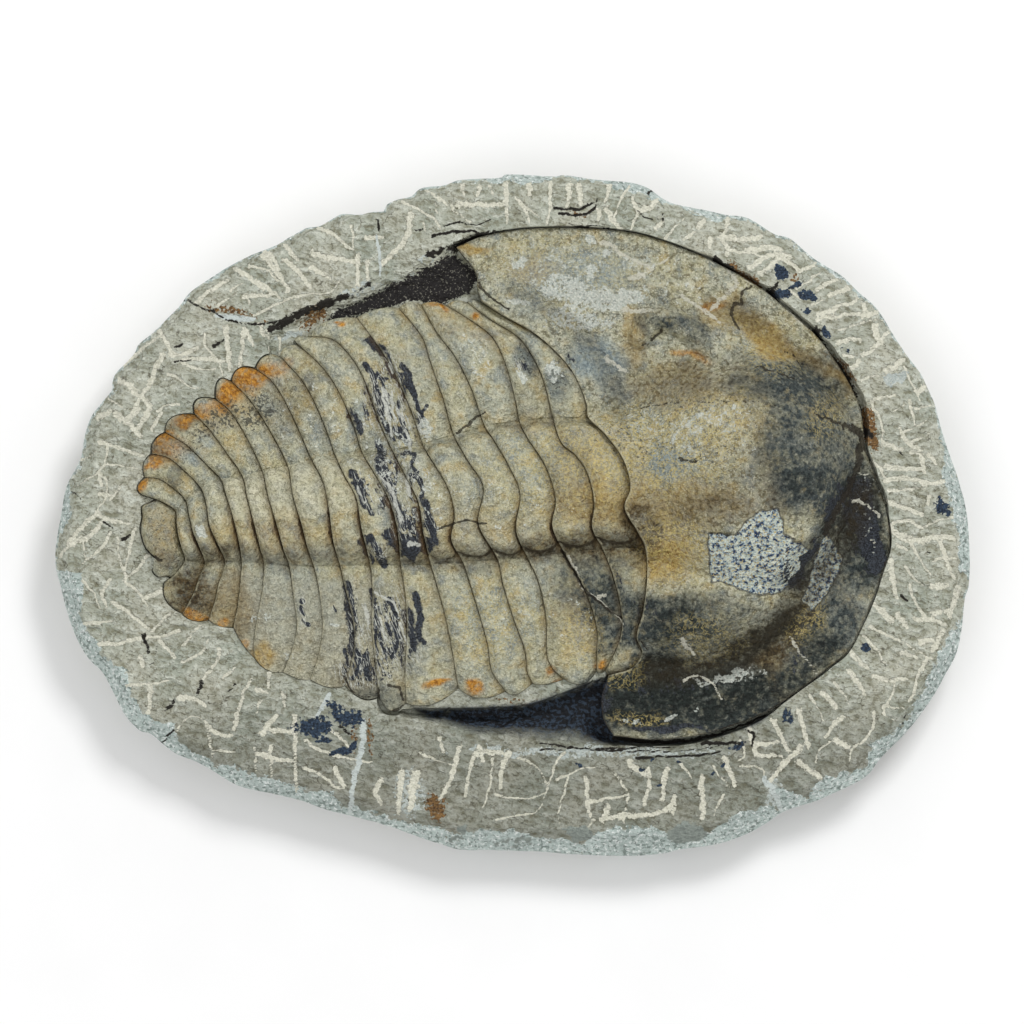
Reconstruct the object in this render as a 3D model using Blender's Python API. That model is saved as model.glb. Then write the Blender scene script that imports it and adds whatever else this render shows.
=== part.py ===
"""A large fossil trilobite, belly down on an oval slab of its own rock.

The head points along +X and the fossil's back faces +Z. Lengths in this file are
millimetres, and the meshes are scaled to metres when they are made. The origin is
under the middle of the slab, on the plane that it rests on.
"""

import math

import bmesh
import bpy
import numpy as np

MM = 0.001
COLLECTION = "trilobite_fossil"

# Heights above the resting plane
BED_TOP = 25.7
PLATE_UNDERSIDE = 26.0
PLEURA_TIP = 31.2
BORDER_TOP = 31.6
CHEEK_TOP = 36.4

# Along the thorax, at each X: the height of the furrow beside the axis, and the axis above it
FURROW_BY_X = [(-130.0, 32.6), (40.0, 36.0)]
AXIS_RISE_BY_X = [(-130.0, 3.6), (-60.0, 6.6), (30.0, 10.0)]
AXIS_ROUNDNESS = 0.7
PLEURA_SWELL = 2.2

# A plate's rear edge lies over the next one's front edge by this step
OVERLAP_STEP = 1.7
OVERLAP_DIP = 0.9
OVERLAP_ROW = 0.85

# Gaps that keep touching pieces apart
PLATE_GAP = 0.34
POCKET_GAP = 0.36
BED_GAP = 0.32

# The slab: how far its broken surface rises and falls, the height of its wall's middle and
# how much of the foot's inset is reached there, and two rings across its top
CHIP = 0.55
WALL_MIDDLE = 12.0
WALL_MIDDLE_SHARE = 0.45
OUTER_RIM_SHARE = 0.62
INNER_RIM_SHARE = 0.25

# The groove cleared round the fossil: its width, its bank, and the narrowest ledge
GROOVE_WIDTH = 2.6
GROOVE_BANK = 1.0
LEDGE_START = 0.5
LEDGE_BANK = 0.5

# How many pieces each curve is cut into
PLEURA_STEPS = 7
AXIS_STEPS = 6
SHELL_ROWS = (0.0, 0.22, 0.68, 1.0)
HEAD_ROWS = 15
TAIL_EDGE_STEPS = 14

# How far the steps behind a pleural tip follow it out
TIP_SHARES = (1.0, 0.45, 0.12)

SLAB_OUTLINE = [
    (165.2, -13.2), (163.7, 2.4), (159.9, 16.1), (154.6, 31.9), (150.0, 45.6), (142.5, 58.0),
    (134.4, 70.5), (125.0, 80.5), (109.4, 92.3), (100.0, 100.1), (87.0, 106.4), (70.3, 110.1),
    (54.0, 114.7), (44.6, 119.8), (28.2, 121.5), (15.4, 122.3), (-2.5, 123.2), (-13.2, 121.5),
    (-32.5, 118.3), (-41.8, 113.9), (-55.3, 108.5), (-69.9, 104.3), (-81.5, 100.1), (-94.9, 93.7),
    (-110.1, 84.9), (-125.9, 69.8), (-136.4, 58.6), (-144.6, 46.5), (-151.9, 35.8), (-156.0, 20.0),
    (-161.1, 10.0), (-164.5, -8.0), (-165.2, -18.0), (-160.6, -36.0), (-153.2, -52.1),
    (-144.4, -63.9), (-134.8, -77.9), (-120.9, -86.7), (-106.9, -93.3), (-89.3, -100.3),
    (-67.2, -106.5), (-46.5, -112.0), (-27.0, -118.6), (-7.5, -121.0), (16.0, -122.2),
    (38.6, -123.3), (59.9, -120.9), (84.1, -115.4), (97.9, -107.1), (118.5, -99.5),
    (132.3, -88.6), (149.5, -69.3), (160.2, -50.0), (164.6, -26.3),
]

# The seams between plates, from the one behind the head to the one before the tail.
# Each goes from its upper tip to the axis, across the axis, and on to its lower tip.
SEAMS = [
    ([(-11.3, 76.5), (-3.3, 71.2), (7.2, 65.1), (16.0, 57.5), (22.4, 49.3), (26.5, 39.5), (27.3, 34.0)],
     [(32.9, 28.1), (39.6, 18.5), (42.3, 8.0), (40.2, 1.0), (45.0, -7.5), (47.6, -12.5)],
     [(48.4, -23.0), (46.8, -36.5), (44.6, -45.0), (46.5, -50.5), (43.0, -56.0), (34.6, -58.8)]),
    ([(-16.4, 76.4), (-8.5, 70.2), (2.0, 63.4), (7.4, 56.0), (11.6, 46.4), (14.6, 34.0)],
     [(17.7, 24.5), (22.9, 19.8), (27.1, 13.0), (29.3, 2.5), (28.6, -6.0), (32.3, -13.0)],
     [(35.8, -21.9), (38.8, -33.6), (39.3, -42.0), (37.5, -49.0), (33.4, -56.8)]),
    ([(-24.0, 75.3), (-14.4, 69.2), (-6.8, 62.8), (-2.1, 52.3), (1.3, 39.5), (2.5, 33.0)],
     [(5.4, 26.6), (11.9, 16.1), (15.5, 4.0), (14.3, -5.5), (18.6, -14.5)],
     [(25.3, -26.5), (28.6, -34.7), (30.5, -43.0), (30.4, -50.0), (30.2, -57.0)]),
    ([(-33.0, 75.6), (-27.2, 65.1), (-20.8, 56.5), (-15.0, 45.2), (-9.9, 31.0)],
     [(-7.1, 26.6), (-1.5, 16.7), (2.8, 6.2), (1.3, -7.0), (5.5, -16.5)],
     [(9.5, -25.4), (12.2, -39.4), (12.4, -51.0), (14.4, -56.0), (18.6, -59.8)]),
    ([(-41.0, 74.4), (-32.5, 63.4), (-29.6, 54.6), (-24.6, 40.0), (-21.1, 28.0)],
     [(-16.1, 18.5), (-10.4, 8.5), (-12.2, -4.6), (-5.3, -17.0)],
     [(-3.4, -26.0), (0.8, -39.4), (4.6, -50.0), (5.4, -57.5), (7.2, -61.2)]),
    ([(-56.0, 70.8), (-45.0, 55.0), (-37.0, 38.0), (-32.2, 24.5)],
     [(-29.6, 19.6), (-23.2, 8.5), (-20.8, -1.5), (-22.0, -10.2), (-17.9, -17.8)],
     [(-15.0, -26.5), (-11.8, -37.0), (-8.8, -48.0), (-7.4, -57.0), (-2.5, -64.2)]),
    ([(-74.0, 64.0), (-65.0, 62.8), (-58.2, 56.4), (-53.5, 48.2), (-48.0, 33.0), (-43.2, 22.3)],
     [(-39.0, 14.0), (-33.8, 3.0), (-32.0, -8.0), (-29.4, -18.8)],
     [(-26.9, -27.1), (-23.7, -39.4), (-21.5, -51.0), (-19.5, -63.0)]),
    ([(-77.5, 61.2), (-68.7, 52.8), (-62.9, 44.3), (-57.4, 32.0), (-54.0, 21.5)],
     [(-50.0, 14.5), (-44.3, 4.0), (-41.3, -7.0), (-40.2, -19.0)],
     [(-38.5, -30.0), (-38.0, -44.0), (-38.6, -56.0), (-38.4, -68.5)]),
    ([(-84.0, 57.0), (-74.9, 46.5), (-68.3, 33.0), (-63.5, 19.8)],
     [(-60.4, 13.0), (-56.2, 5.0), (-54.3, -6.0), (-51.2, -19.0)],
     [(-50.4, -29.0), (-50.6, -41.0), (-49.6, -52.0), (-48.2, -66.0)]),
    ([(-92.6, 52.3), (-86.2, 47.0), (-79.8, 36.0), (-72.2, 19.0)],
     [(-68.1, 10.9), (-66.0, 1.0), (-64.4, -11.0), (-62.0, -19.3)],
     [(-60.0, -28.0), (-57.4, -39.0), (-57.0, -49.0), (-60.2, -62.2)]),
    ([(-101.3, 47.6), (-95.0, 41.2), (-88.0, 30.7), (-80.9, 16.8)],
     [(-79.0, 6.0), (-76.0, -4.0), (-73.7, -13.1), (-71.5, -19.4)],
     [(-69.3, -30.0), (-68.3, -42.0), (-70.0, -52.0), (-72.8, -60.0)]),
    ([(-107.0, 41.3), (-102.0, 37.0), (-96.2, 28.0), (-90.0, 14.9)],
     [(-88.0, 6.1), (-84.7, -5.0), (-82.2, -14.0), (-80.3, -19.3)],
     [(-78.8, -30.0), (-77.6, -41.0), (-79.5, -50.0), (-82.6, -57.3)]),
    ([(-114.6, 35.8), (-109.6, 30.6), (-104.0, 23.0), (-97.2, 13.0)],
     [(-95.5, 5.5), (-93.2, -3.3), (-90.9, -12.6), (-89.5, -18.2)],
     [(-90.0, -28.0), (-91.8, -38.0), (-93.2, -47.0), (-93.0, -52.0)]),
    ([(-125.2, 29.3), (-117.2, 24.3), (-110.0, 17.2), (-105.0, 12.0)],
     [(-103.3, 7.0), (-100.5, -2.0), (-98.3, -11.5), (-97.5, -18.0)],
     [(-98.0, -26.0), (-99.0, -34.0), (-100.5, -41.2)]),
    ([(-130.0, 21.5), (-124.2, 20.0), (-118.0, 15.0), (-112.3, 9.0)],
     [(-110.2, 3.0), (-108.9, -5.0), (-105.6, -12.5), (-103.5, -17.8)],
     [(-105.8, -26.0), (-107.3, -32.5), (-109.5, -38.6)]),
    ([(-132.6, 13.0), (-127.2, 12.2), (-121.8, 8.6), (-117.8, 4.6)],
     [(-116.4, -1.0), (-115.0, -7.0), (-112.5, -13.0), (-110.8, -18.2)],
     [(-112.4, -22.5), (-115.0, -29.5), (-119.0, -36.2)]),
    ([(-133.6, 6.6), (-128.6, 5.0), (-124.4, 3.0), (-121.4, 0.6)],
     [(-120.9, -4.0), (-120.2, -8.5), (-119.0, -13.0), (-117.9, -17.0)],
     [(-119.6, -20.0), (-122.0, -22.7), (-125.4, -24.8)]),
]

# The outermost point of each segment's pleural tip, above and below the axis
UPPER_TIPS = [
    (-13.8, 77.0), (-20.2, 76.9), (-28.5, 76.4), (-37.0, 76.4), (-48.5, 73.9), (-66.5, 69.6),
    (-78.4, 63.4), (-81.8, 60.0), (-89.3, 56.8), (-98.6, 52.2), (-105.8, 48.0), (-113.6, 41.0),
    (-122.6, 34.6), (-129.0, 26.2), (-132.8, 18.0), (-135.0, 9.4),
]
LOWER_TIPS = [
    (34.2, -58.2), (31.8, -57.6), (25.0, -61.6), (11.0, -61.8), (1.5, -65.2), (-12.0, -66.6),
    (-29.0, -68.8), (-43.6, -71.2), (-53.8, -66.8), (-66.0, -62.8), (-76.8, -59.8),
    (-88.2, -56.6), (-96.8, -47.6), (-105.2, -40.8), (-114.8, -38.8), (-124.6, -31.4),
]

# The head shield's edges: its front from the lower corner round to the upper one,
# and its two short ends, each from the seam outwards
HEAD_FRONT = [
    (36.5, -80.1), (50.2, -81.4), (66.0, -80.1), (79.0, -76.6), (92.0, -71.3), (102.0, -64.5),
    (112.0, -57.0), (121.3, -48.8), (128.8, -33.2), (133.4, -21.0), (135.8, -12.0), (134.4, 2.4),
    (130.6, 13.6), (127.2, 23.0), (125.4, 38.0), (119.4, 50.6), (110.6, 63.0), (100.0, 73.0),
    (88.2, 82.4), (73.8, 90.5), (59.2, 96.9), (44.6, 101.3), (28.2, 103.1), (5.4, 103.0),
    (-10.3, 100.4), (-20.2, 96.3),
]
HEAD_LOWER_END = [(34.6, -58.8), (32.2, -66.0), (32.8, -74.0), (36.5, -80.1)]
HEAD_UPPER_END = [(-11.3, 76.5), (-12.6, 81.0), (-13.2, 87.0), (-20.2, 96.3)]

# Forms of the head shield
DOME_CENTRE = (83.0, 14.5)
DOME_RADIUS = 44.5
DOME_RISE = 18.5
DOME_FLATNESS = 2.6
DOME_SOFTNESS = 1.15
NECK_LINE = [(34.0, 9.0), (60.0, 10.0), (86.0, 13.0)]
NECK_HALF_WIDTH = 27.0
NECK_RISE = 11.5
EYE_LOBE = [(46.4, 63.5), (50.0, 68.6), (56.0, 69.4), (63.0, 66.0), (71.0, 60.0), (76.0, 57.0)]
EYE_HALF_WIDTH = 5.2
EYE_RISE = 4.6
LOWER_CHEEK = (66.0, -36.0)
LOWER_CHEEK_SPREAD = (34.0, 19.0)
LOWER_CHEEK_RISE = 6.0
LOWER_VALLEY = [
    (50.0, -57.0), (62.0, -56.3), (77.0, -52.4), (89.6, -45.0), (98.5, -36.5), (106.0, -27.5),
    (114.5, -17.0), (121.0, -6.0), (126.0, 6.0),
]
UPPER_VALLEY = [(72.0, 75.0), (83.0, 70.5), (93.0, 65.0), (103.0, 58.0), (112.0, 52.0), (121.0, 44.0)]
LOWER_VALLEY_DEPTH = 5.6
LOWER_VALLEY_HALF_WIDTH = 12.0
UPPER_VALLEY_DEPTH = 3.2
UPPER_VALLEY_HALF_WIDTH = 8.0
REAR_FURROW_DEPTH = 1.6
REAR_FURROW_HALF_WIDTH = 4.5
REAR_FURROW = [(0.0, 80.0), (14.0, 72.5), (25.0, 64.0), (32.0, 54.0), (36.5, 43.0), (38.5, 35.0)]
HEAD_LOWEST = 30.6
BORDER_SLOPE = 24.0
REAR_EDGE_STEP = 1.2
REAR_EDGE_ROW = 0.16

# The tail plate: its free edge from the upper end of the last seam round to the lower one
TAIL_EDGE = [
    (-130.0, 4.0), (-133.3, 2.4), (-133.2, -1.5), (-133.9, -6.0), (-132.3, -12.0), (-129.4, -15.6),
    (-126.7, -17.6), (-129.6, -20.4), (-127.6, -23.0), (-124.4, -22.7),
]
# It meets the last seam between these steps
TAIL_FIRST = 3
TAIL_LAST = 18
TAIL_MIDDLE = (-126.6, -6.5)
# The tail plate's rings: each one's share of the outline and its height
TAIL_RINGS = [(1.0, 32.0), (0.86, 34.0), (0.6, 35.7), (0.28, 36.2)]

# The cut-away parts of the slab's top beside the fossil
TRENCH_OUTER = [
    (-50.0, -71.5), (-40.0, -73.4), (-30.9, -74.8), (-13.7, -78.9), (8.2, -81.3), (31.6, -83.3),
    (60.3, -83.6), (76.0, -80.2), (88.0, -75.5), (96.0, -70.3),
]
TRENCH_LEDGE = [
    (-44.0, -72.0), (-36.0, -70.2), (-23.0, -70.2), (4.3, -69.0), (16.0, -65.4), (30.0, -60.0),
    (34.6, -59.2),
]
UPPER_CLEFT = [
    (-92.0, 62.5), (-87.4, 66.3), (-76.3, 72.5), (-69.9, 75.5), (-59.9, 78.5), (-50.0, 84.0),
    (-40.0, 89.6), (-30.0, 93.0), (-20.2, 98.0), (-13.0, 101.6),
]

# Where the rays that shape the slab's top leave the fossil and at what angle from +X they
# reach the slab's outline, so that they fan out without crossing
RAY_ANCHORS = [
    ((36.5, -80.1), -72.5), ((66.0, -80.1), -54.0), ((112.0, -57.0), -27.5), ((135.8, -12.0), -4.5),
    ((125.4, 38.0), 18.0), ((88.2, 82.4), 43.0), ((28.2, 103.1), 75.0), ((-10.3, 100.4), 97.0),
    ((-20.2, 96.3), 107.0), ((-13.2, 87.0), 115.0), ((-11.3, 76.5), 119.0), ((-24.0, 75.3), 122.0),
    ((-74.0, 64.0), 139.0), ((-114.6, 35.8), 162.5), ((-133.9, -6.0), 182.5),
    ((-125.4, -24.8), 192.5), ((-93.0, -52.0), 210.0), ((-48.2, -66.0), 234.0),
    ((7.2, -61.2), 261.0), ((30.2, -57.0), 268.0), ((34.6, -58.8), 270.0), ((32.8, -74.0), 280.5),
]

# Round the slab, by angle from +X: the top's height at its outer edge, how far the filler
# on its edge reaches in, how much lower the outline is, and how far the foot is set in
RIM_BY_ANGLE = [
    (0, 29.5, 5.5, 5.0, 9.0), (45, 30.5, 3.5, 4.0, 12.0), (90, 31.0, 3.0, 4.0, 13.0),
    (135, 30.5, 4.0, 4.0, 12.0), (180, 29.5, 5.0, 5.0, 9.0), (225, 28.5, 7.0, 7.0, 7.0),
    (270, 28.5, 9.0, 9.0, 6.0), (315, 28.5, 7.0, 7.0, 7.0), (360, 29.5, 5.5, 5.0, 9.0),
]
# Round the fossil, by the same angle: the top's height at its inner edge and the height
# of the groove's floor along the fossil
GROOVE_BY_ANGLE = [
    (-68, 26.5, 19.5), (-54, 27.5, 20.5), (-40, 29.5, 23.0), (-20, 31.0, 26.0), (0, 32.0, 27.0),
    (20, 33.0, 27.0), (45, 33.5, 27.5), (75, 34.0, 28.0), (96, 33.5, 27.5), (105, 33.5, 26.4),
    (125, 33.0, 26.6), (142, 32.0, 27.5), (165, 30.8, 28.0), (195, 30.4, 28.0), (215, 30.4, 28.4),
    (234, 30.0, 28.0), (240, 29.0, 24.0), (248, 27.5, 19.5), (270, 26.8, 18.8), (292, 26.5, 19.5),
]
LEDGE_TOP = 29.6


def clear_scene():
    for obj in list(bpy.data.objects):
        bpy.data.objects.remove(obj, do_unlink=True)


def stone(name, colour, roughness):
    """A plain rock material, base colour as linear red, green and blue."""
    material = bpy.data.materials.new(name)
    material.use_nodes = True
    shader = material.node_tree.nodes["Principled BSDF"]
    shader.inputs["Base Color"].default_value = (*colour, 1.0)
    shader.inputs["Roughness"].default_value = roughness
    shader.inputs["Metallic"].default_value = 0.0
    return material


def smooth_step(value):
    value = np.clip(value, 0.0, 1.0)
    return value * value * (3.0 - 2.0 * value)


def smooth_curve(points, steps=10, closed=False):
    """A dense smooth line through the points, with tangents that suit uneven spacing."""
    p = np.array(points, float)
    if closed:
        p = np.vstack([p[-1], p, p[0], p[1]])
    else:
        p = np.vstack([2 * p[0] - p[1], p, 2 * p[-1] - p[-2]])
    t = np.concatenate([[0.0], np.cumsum(np.linalg.norm(np.diff(p, axis=0), axis=1))])
    tangent = (p[2:] - p[:-2]) / (t[2:] - t[:-2])[:, None]
    s = (np.arange(steps) / steps)[:, None]
    pieces = []
    for i in range(1, len(p) - 2):
        h = t[i + 1] - t[i]
        start, end = tangent[i - 1] * h, tangent[i] * h
        pieces.append(
            (2 * s**3 - 3 * s**2 + 1) * p[i]
            + (s**3 - 2 * s**2 + s) * start
            + (3 * s**2 - 2 * s**3) * p[i + 1]
            + (s**3 - s**2) * end
        )
    if not closed:
        pieces.append(p[-2][None, :])
    return np.vstack(pieces)


def along(curve, fractions):
    """Points at these fractions of an open curve's length."""
    length = np.concatenate([[0.0], np.cumsum(np.linalg.norm(np.diff(curve, axis=0), axis=1))])
    want = np.asarray(fractions) * length[-1]
    return np.stack([np.interp(want, length, curve[:, k]) for k in range(curve.shape[1])], axis=1)


def by_angle(table, degrees, column):
    """A value read round the slab from a table of angle and values."""
    rows = np.array(table, float)
    angle = rows[0, 0] + np.mod(np.asarray(degrees) - rows[0, 0], 360.0)
    angles = np.append(rows[:, 0], rows[0, 0] + 360.0)
    values = np.append(rows[:, column], rows[0, column])
    return np.interp(angle, angles, values)


def distance_to_line(x, y, points):
    """Distance in plan from each x, y to a polyline."""
    line = smooth_curve(points, 4)
    best = np.full(np.shape(x), 1e9)
    for (ax, ay), (bx, by) in zip(line[:-1], line[1:]):
        dx, dy = bx - ax, by - ay
        t = np.clip(((x - ax) * dx + (y - ay) * dy) / (dx * dx + dy * dy), 0.0, 1.0)
        best = np.minimum(best, np.hypot(x - ax - t * dx, y - ay - t * dy))
    return best


def ridge(distance, half_width, power=1.0):
    """1 on a line, falling smoothly to 0 at half_width from it."""
    return np.clip(1.0 - (distance / half_width) ** 2, 0.0, 1.0) ** (1.0 + power)


def broken(x, y):
    """Uneven, broken rock: a smooth made-up relief between about -1 and 1."""
    return (
        0.5 * np.sin(0.21 * x + 1.3) * np.sin(0.17 * y - 0.4)
        + 0.35 * np.sin(0.09 * x - 0.23 * y + 2.0)
        + 0.25 * np.sin(0.37 * x + 0.29 * y)
    )


def seam_points(seam):
    """The seam at the steps that every plate shares: pleura, axis, pleura."""
    upper, axis, lower = seam
    steps = 10
    curve = smooth_curve(upper + axis + lower, steps)
    first = (len(upper) - 1) * steps
    second = first + len(axis) * steps
    pleura = np.linspace(0, 1, PLEURA_STEPS + 1)
    across = np.linspace(0, 1, AXIS_STEPS + 1)
    return np.vstack([
        along(curve[: first + 1], pleura),
        along(curve[first : second + 1], across)[1:],
        along(curve[second:], pleura)[1:],
    ])


def sideways(curve):
    """Unit normals of an open plan curve that runs from its upper to its lower end. They point to +X."""
    tangent = np.gradient(curve, axis=0)
    tangent /= np.linalg.norm(tangent, axis=1)[:, None]
    return np.stack([-tangent[:, 1], tangent[:, 0]], axis=1)


def axis_share():
    """For each shared step: how far across the axis it is, or -1, and how far out along a pleura."""
    count = 2 * PLEURA_STEPS + AXIS_STEPS + 1
    step = np.arange(count)
    across = np.where(
        (step >= PLEURA_STEPS) & (step <= PLEURA_STEPS + AXIS_STEPS),
        (step - PLEURA_STEPS) / AXIS_STEPS,
        -1.0,
    )
    out = np.maximum(PLEURA_STEPS - step, step - PLEURA_STEPS - AXIS_STEPS) / PLEURA_STEPS
    return across, np.clip(out, 0.0, 1.0)


def by_x(table, x):
    """A value read along the body from a table of X and value."""
    places, values = zip(*table)
    return np.interp(x, places, values)


def segment_height(x, row, across, out):
    """Top of a thoracic plate. row is 0 at its front edge and 1 at its overlapping rear edge."""
    furrow = by_x(FURROW_BY_X, x)
    swell = PLEURA_SWELL * np.sin(math.pi * out**0.7)
    pleura = furrow + swell - (furrow - PLEURA_TIP) * out**2.4
    crest = np.sin(math.pi * np.clip(across, 0.0, 1.0)) ** AXIS_ROUNDNESS
    ring = furrow + by_x(AXIS_RISE_BY_X, x) * crest
    height = np.where(across >= 0.0, ring, pleura)
    inner = np.where(across >= 0.0, 1.0, np.clip(1.0 - 0.45 * out, 0.0, 1.0))
    overlap = OVERLAP_STEP * smooth_step(row / OVERLAP_ROW) - OVERLAP_DIP
    return height + overlap * inner


def head_height(x, y):
    """Top of the head shield."""
    margin = distance_to_line(x, y, HEAD_FRONT)
    base = BORDER_TOP + (CHEEK_TOP - BORDER_TOP) * smooth_step(margin / BORDER_SLOPE)
    radius = np.hypot(x - DOME_CENTRE[0], y - DOME_CENTRE[1]) / DOME_RADIUS
    dome = DOME_RISE * np.clip(1.0 - radius**DOME_FLATNESS, 0.0, 1.0) ** DOME_SOFTNESS
    neck = NECK_RISE * ridge(distance_to_line(x, y, NECK_LINE), NECK_HALF_WIDTH, -0.25)
    across_cheek = (x - LOWER_CHEEK[0]) / LOWER_CHEEK_SPREAD[0]
    along_cheek = (y - LOWER_CHEEK[1]) / LOWER_CHEEK_SPREAD[1]
    cheek = LOWER_CHEEK_RISE * np.clip(1.0 - across_cheek**2 - along_cheek**2, 0.0, 1.0)
    eye = EYE_RISE * ridge(distance_to_line(x, y, EYE_LOBE), EYE_HALF_WIDTH, 0.0)
    height = base + np.maximum(np.maximum(dome, neck), cheek) + eye
    for line, depth, half_width in (
        (LOWER_VALLEY, LOWER_VALLEY_DEPTH, LOWER_VALLEY_HALF_WIDTH),
        (UPPER_VALLEY, UPPER_VALLEY_DEPTH, UPPER_VALLEY_HALF_WIDTH),
        (REAR_FURROW, REAR_FURROW_DEPTH, REAR_FURROW_HALF_WIDTH),
    ):
        height = height - depth * ridge(distance_to_line(x, y, line), half_width, 0.1)
    return np.maximum(height, HEAD_LOWEST)


def link(name, mesh_builder, material, collection):
    """Puts a finished bmesh, in millimetres, into the scene as one object."""
    bmesh.ops.scale(mesh_builder, vec=(MM, MM, MM), verts=mesh_builder.verts[:])
    bmesh.ops.recalc_face_normals(mesh_builder, faces=mesh_builder.faces[:])
    mesh = bpy.data.meshes.new(name)
    mesh_builder.to_mesh(mesh)
    mesh_builder.free()
    mesh.shade_smooth()
    mesh.set_sharp_from_angle(angle=math.radians(38))
    mesh.materials.append(material)
    obj = bpy.data.objects.new(name, mesh)
    collection.objects.link(obj)
    return obj


def shell_plate(name, top, material, collection):
    """A plate from a grid of top points, with upright edges and a flat underside on the bed."""
    rows, columns = top.shape[:2]
    builder = bmesh.new()
    bmesh.ops.create_grid(builder, x_segments=columns - 1, y_segments=rows - 1, size=1.0)
    for vertex in builder.verts:
        column = round((vertex.co.x + 1.0) / 2.0 * (columns - 1))
        row = round((vertex.co.y + 1.0) / 2.0 * (rows - 1))
        vertex.co = top[row, column]
    made = bmesh.ops.extrude_face_region(builder, geom=builder.faces[:])
    for vertex in (item for item in made["geom"] if isinstance(item, bmesh.types.BMVert)):
        vertex.co.z = PLATE_UNDERSIDE
    under = [item for item in made["geom"] if isinstance(item, bmesh.types.BMFace)]
    bmesh.ops.dissolve_faces(builder, faces=under)
    return link(name, builder, material, collection)


def neighbours(vertex):
    return [edge.other_vert(vertex) for edge in vertex.link_edges]


def ringed_solid(name, rings, material, collection):
    """A solid drawn up through closed rings with equally many points, from its underside to its top."""
    builder = bmesh.new()
    count = len(rings[0])
    bmesh.ops.create_circle(builder, cap_ends=True, segments=count, radius=1.0)
    loop = sorted(builder.verts, key=lambda v: math.atan2(v.co.y, v.co.x) % (2 * math.pi))
    for vertex, place in zip(loop, rings[0]):
        vertex.co = place
    for ring in rings[1:]:
        edges = [builder.edges.get((loop[i], loop[(i + 1) % count])) for i in range(count)]
        made = bmesh.ops.extrude_edge_only(builder, edges=edges)["geom"]
        fresh = {item for item in made if isinstance(item, bmesh.types.BMVert)}
        loop = [next(far for far in neighbours(vertex) if far in fresh) for vertex in loop]
        for vertex, place in zip(loop, ring):
            vertex.co = place
    builder.faces.new(loop)
    return link(name, builder, material, collection)


def segment_plan(front, rear, upper_tip, lower_tip):
    """Plan points of a plate between two seams, its free ends rounded out to the pleural tips."""
    rows = np.array(SHELL_ROWS)[:, None, None]
    plan = front[None] * (1 - rows) + rear[None] * rows
    bulge = (4 * rows * (1 - rows))[:, 0, 0]
    for end, tip, order in ((0, upper_tip, 1), (-1, lower_tip, -1)):
        reach = np.array(tip) - (front[end] + rear[end]) / 2
        for step, share in enumerate(TIP_SHARES):
            plan[:, end + order * step] += bulge[:, None] * reach * share
    return plan


def make_segment(number, front_seam, rear_seam, material, collection):
    half = PLATE_GAP / 2
    front = front_seam - sideways(front_seam) * half
    rear = rear_seam + sideways(rear_seam) * half
    plan = segment_plan(front, rear, UPPER_TIPS[number - 1], LOWER_TIPS[number - 1])
    across, out = axis_share()
    row = np.array(SHELL_ROWS)[:, None]
    height = segment_height(plan[..., 0], row, across[None], out[None])
    shell_plate(f"thoracic_segment_{number:02d}", np.dstack([plan, height]), material, collection)
    return plan


def head_plan(seam):
    """Plan points of the head shield as a patch between the first seam, the front edge and two ends."""
    rear = seam + sideways(seam) * PLATE_GAP / 2
    middle = (rear[1:] + rear[:-1]) / 2
    rear = np.insert(rear, np.arange(1, len(rear)), middle, axis=0)
    columns = len(rear)
    u = np.linspace(0, 1, columns)[None, :, None]
    v = np.linspace(0, 1, HEAD_ROWS)[:, None, None]
    front = along(smooth_curve(HEAD_FRONT[::-1]), u.ravel())
    upper = along(smooth_curve([tuple(rear[0])] + HEAD_UPPER_END[1:]), v.ravel())
    lower = along(smooth_curve([tuple(rear[-1])] + HEAD_LOWER_END[1:]), v.ravel())
    plan = rear[None] * (1 - v) + front[None] * v
    plan += (upper[:, None] - (rear[0] * (1 - v) + front[0] * v)) * (1 - u) ** 3
    plan += (lower[:, None] - (rear[-1] * (1 - v) + front[-1] * v)) * u**3
    return plan


def make_head(seam, material, collection):
    plan = head_plan(seam)
    height = head_height(plan[..., 0], plan[..., 1])
    behind = np.linspace(0, 1, HEAD_ROWS)[:, None]
    height = height + REAR_EDGE_STEP * (1 - smooth_step(behind / REAR_EDGE_ROW))
    shell_plate("cephalon", np.dstack([plan, height]), material, collection)
    return plan


def tail_outline(seam):
    """The tail plate's outline: along the last seam, then round its free edge."""
    inner = seam - sideways(seam) * PLATE_GAP / 2
    free = along(smooth_curve(TAIL_EDGE), np.linspace(0, 1, TAIL_EDGE_STEPS + 1))
    return np.vstack([inner[TAIL_FIRST : TAIL_LAST + 1][::-1], free])


def make_tail(seam, material, collection):
    outline = tail_outline(seam)
    middle = np.array(TAIL_MIDDLE)
    rings = [np.column_stack([outline, np.full(len(outline), PLATE_UNDERSIDE)])]
    for share, height in TAIL_RINGS:
        ring = middle + (outline - middle) * share
        rings.append(np.column_stack([ring, np.full(len(ring), height)]))
    ringed_solid("pygidium", rings, material, collection)
    return outline


def fossil_outline(head, segments, tail):
    """The fossil's outline in plan, counterclockwise from the head's lower corner."""
    front = head[-1, ::-1]
    upper_end = head[1:-1, 0][::-1]
    points = [front, upper_end, head[0, :1]]
    for plan in segments:
        points.append(plan[1:, 0])
    last_rear = segments[-1][-1]
    points += [last_rear[1:TAIL_FIRST], tail[TAIL_LAST - TAIL_FIRST + 1 :], last_rear[TAIL_LAST + 1 :]]
    for plan in reversed(segments):
        points.append(plan[::-1, -1][1:])
    points.append(head[:, -1][0:-1])
    return np.vstack(points)


def outwards(outline):
    """Unit normals that point out of a counterclockwise outline."""
    tangent = np.roll(outline, -1, axis=0) - np.roll(outline, 1, axis=0)
    tangent /= np.linalg.norm(tangent, axis=1)[:, None]
    return np.stack([tangent[:, 1], -tangent[:, 0]], axis=1)


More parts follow.
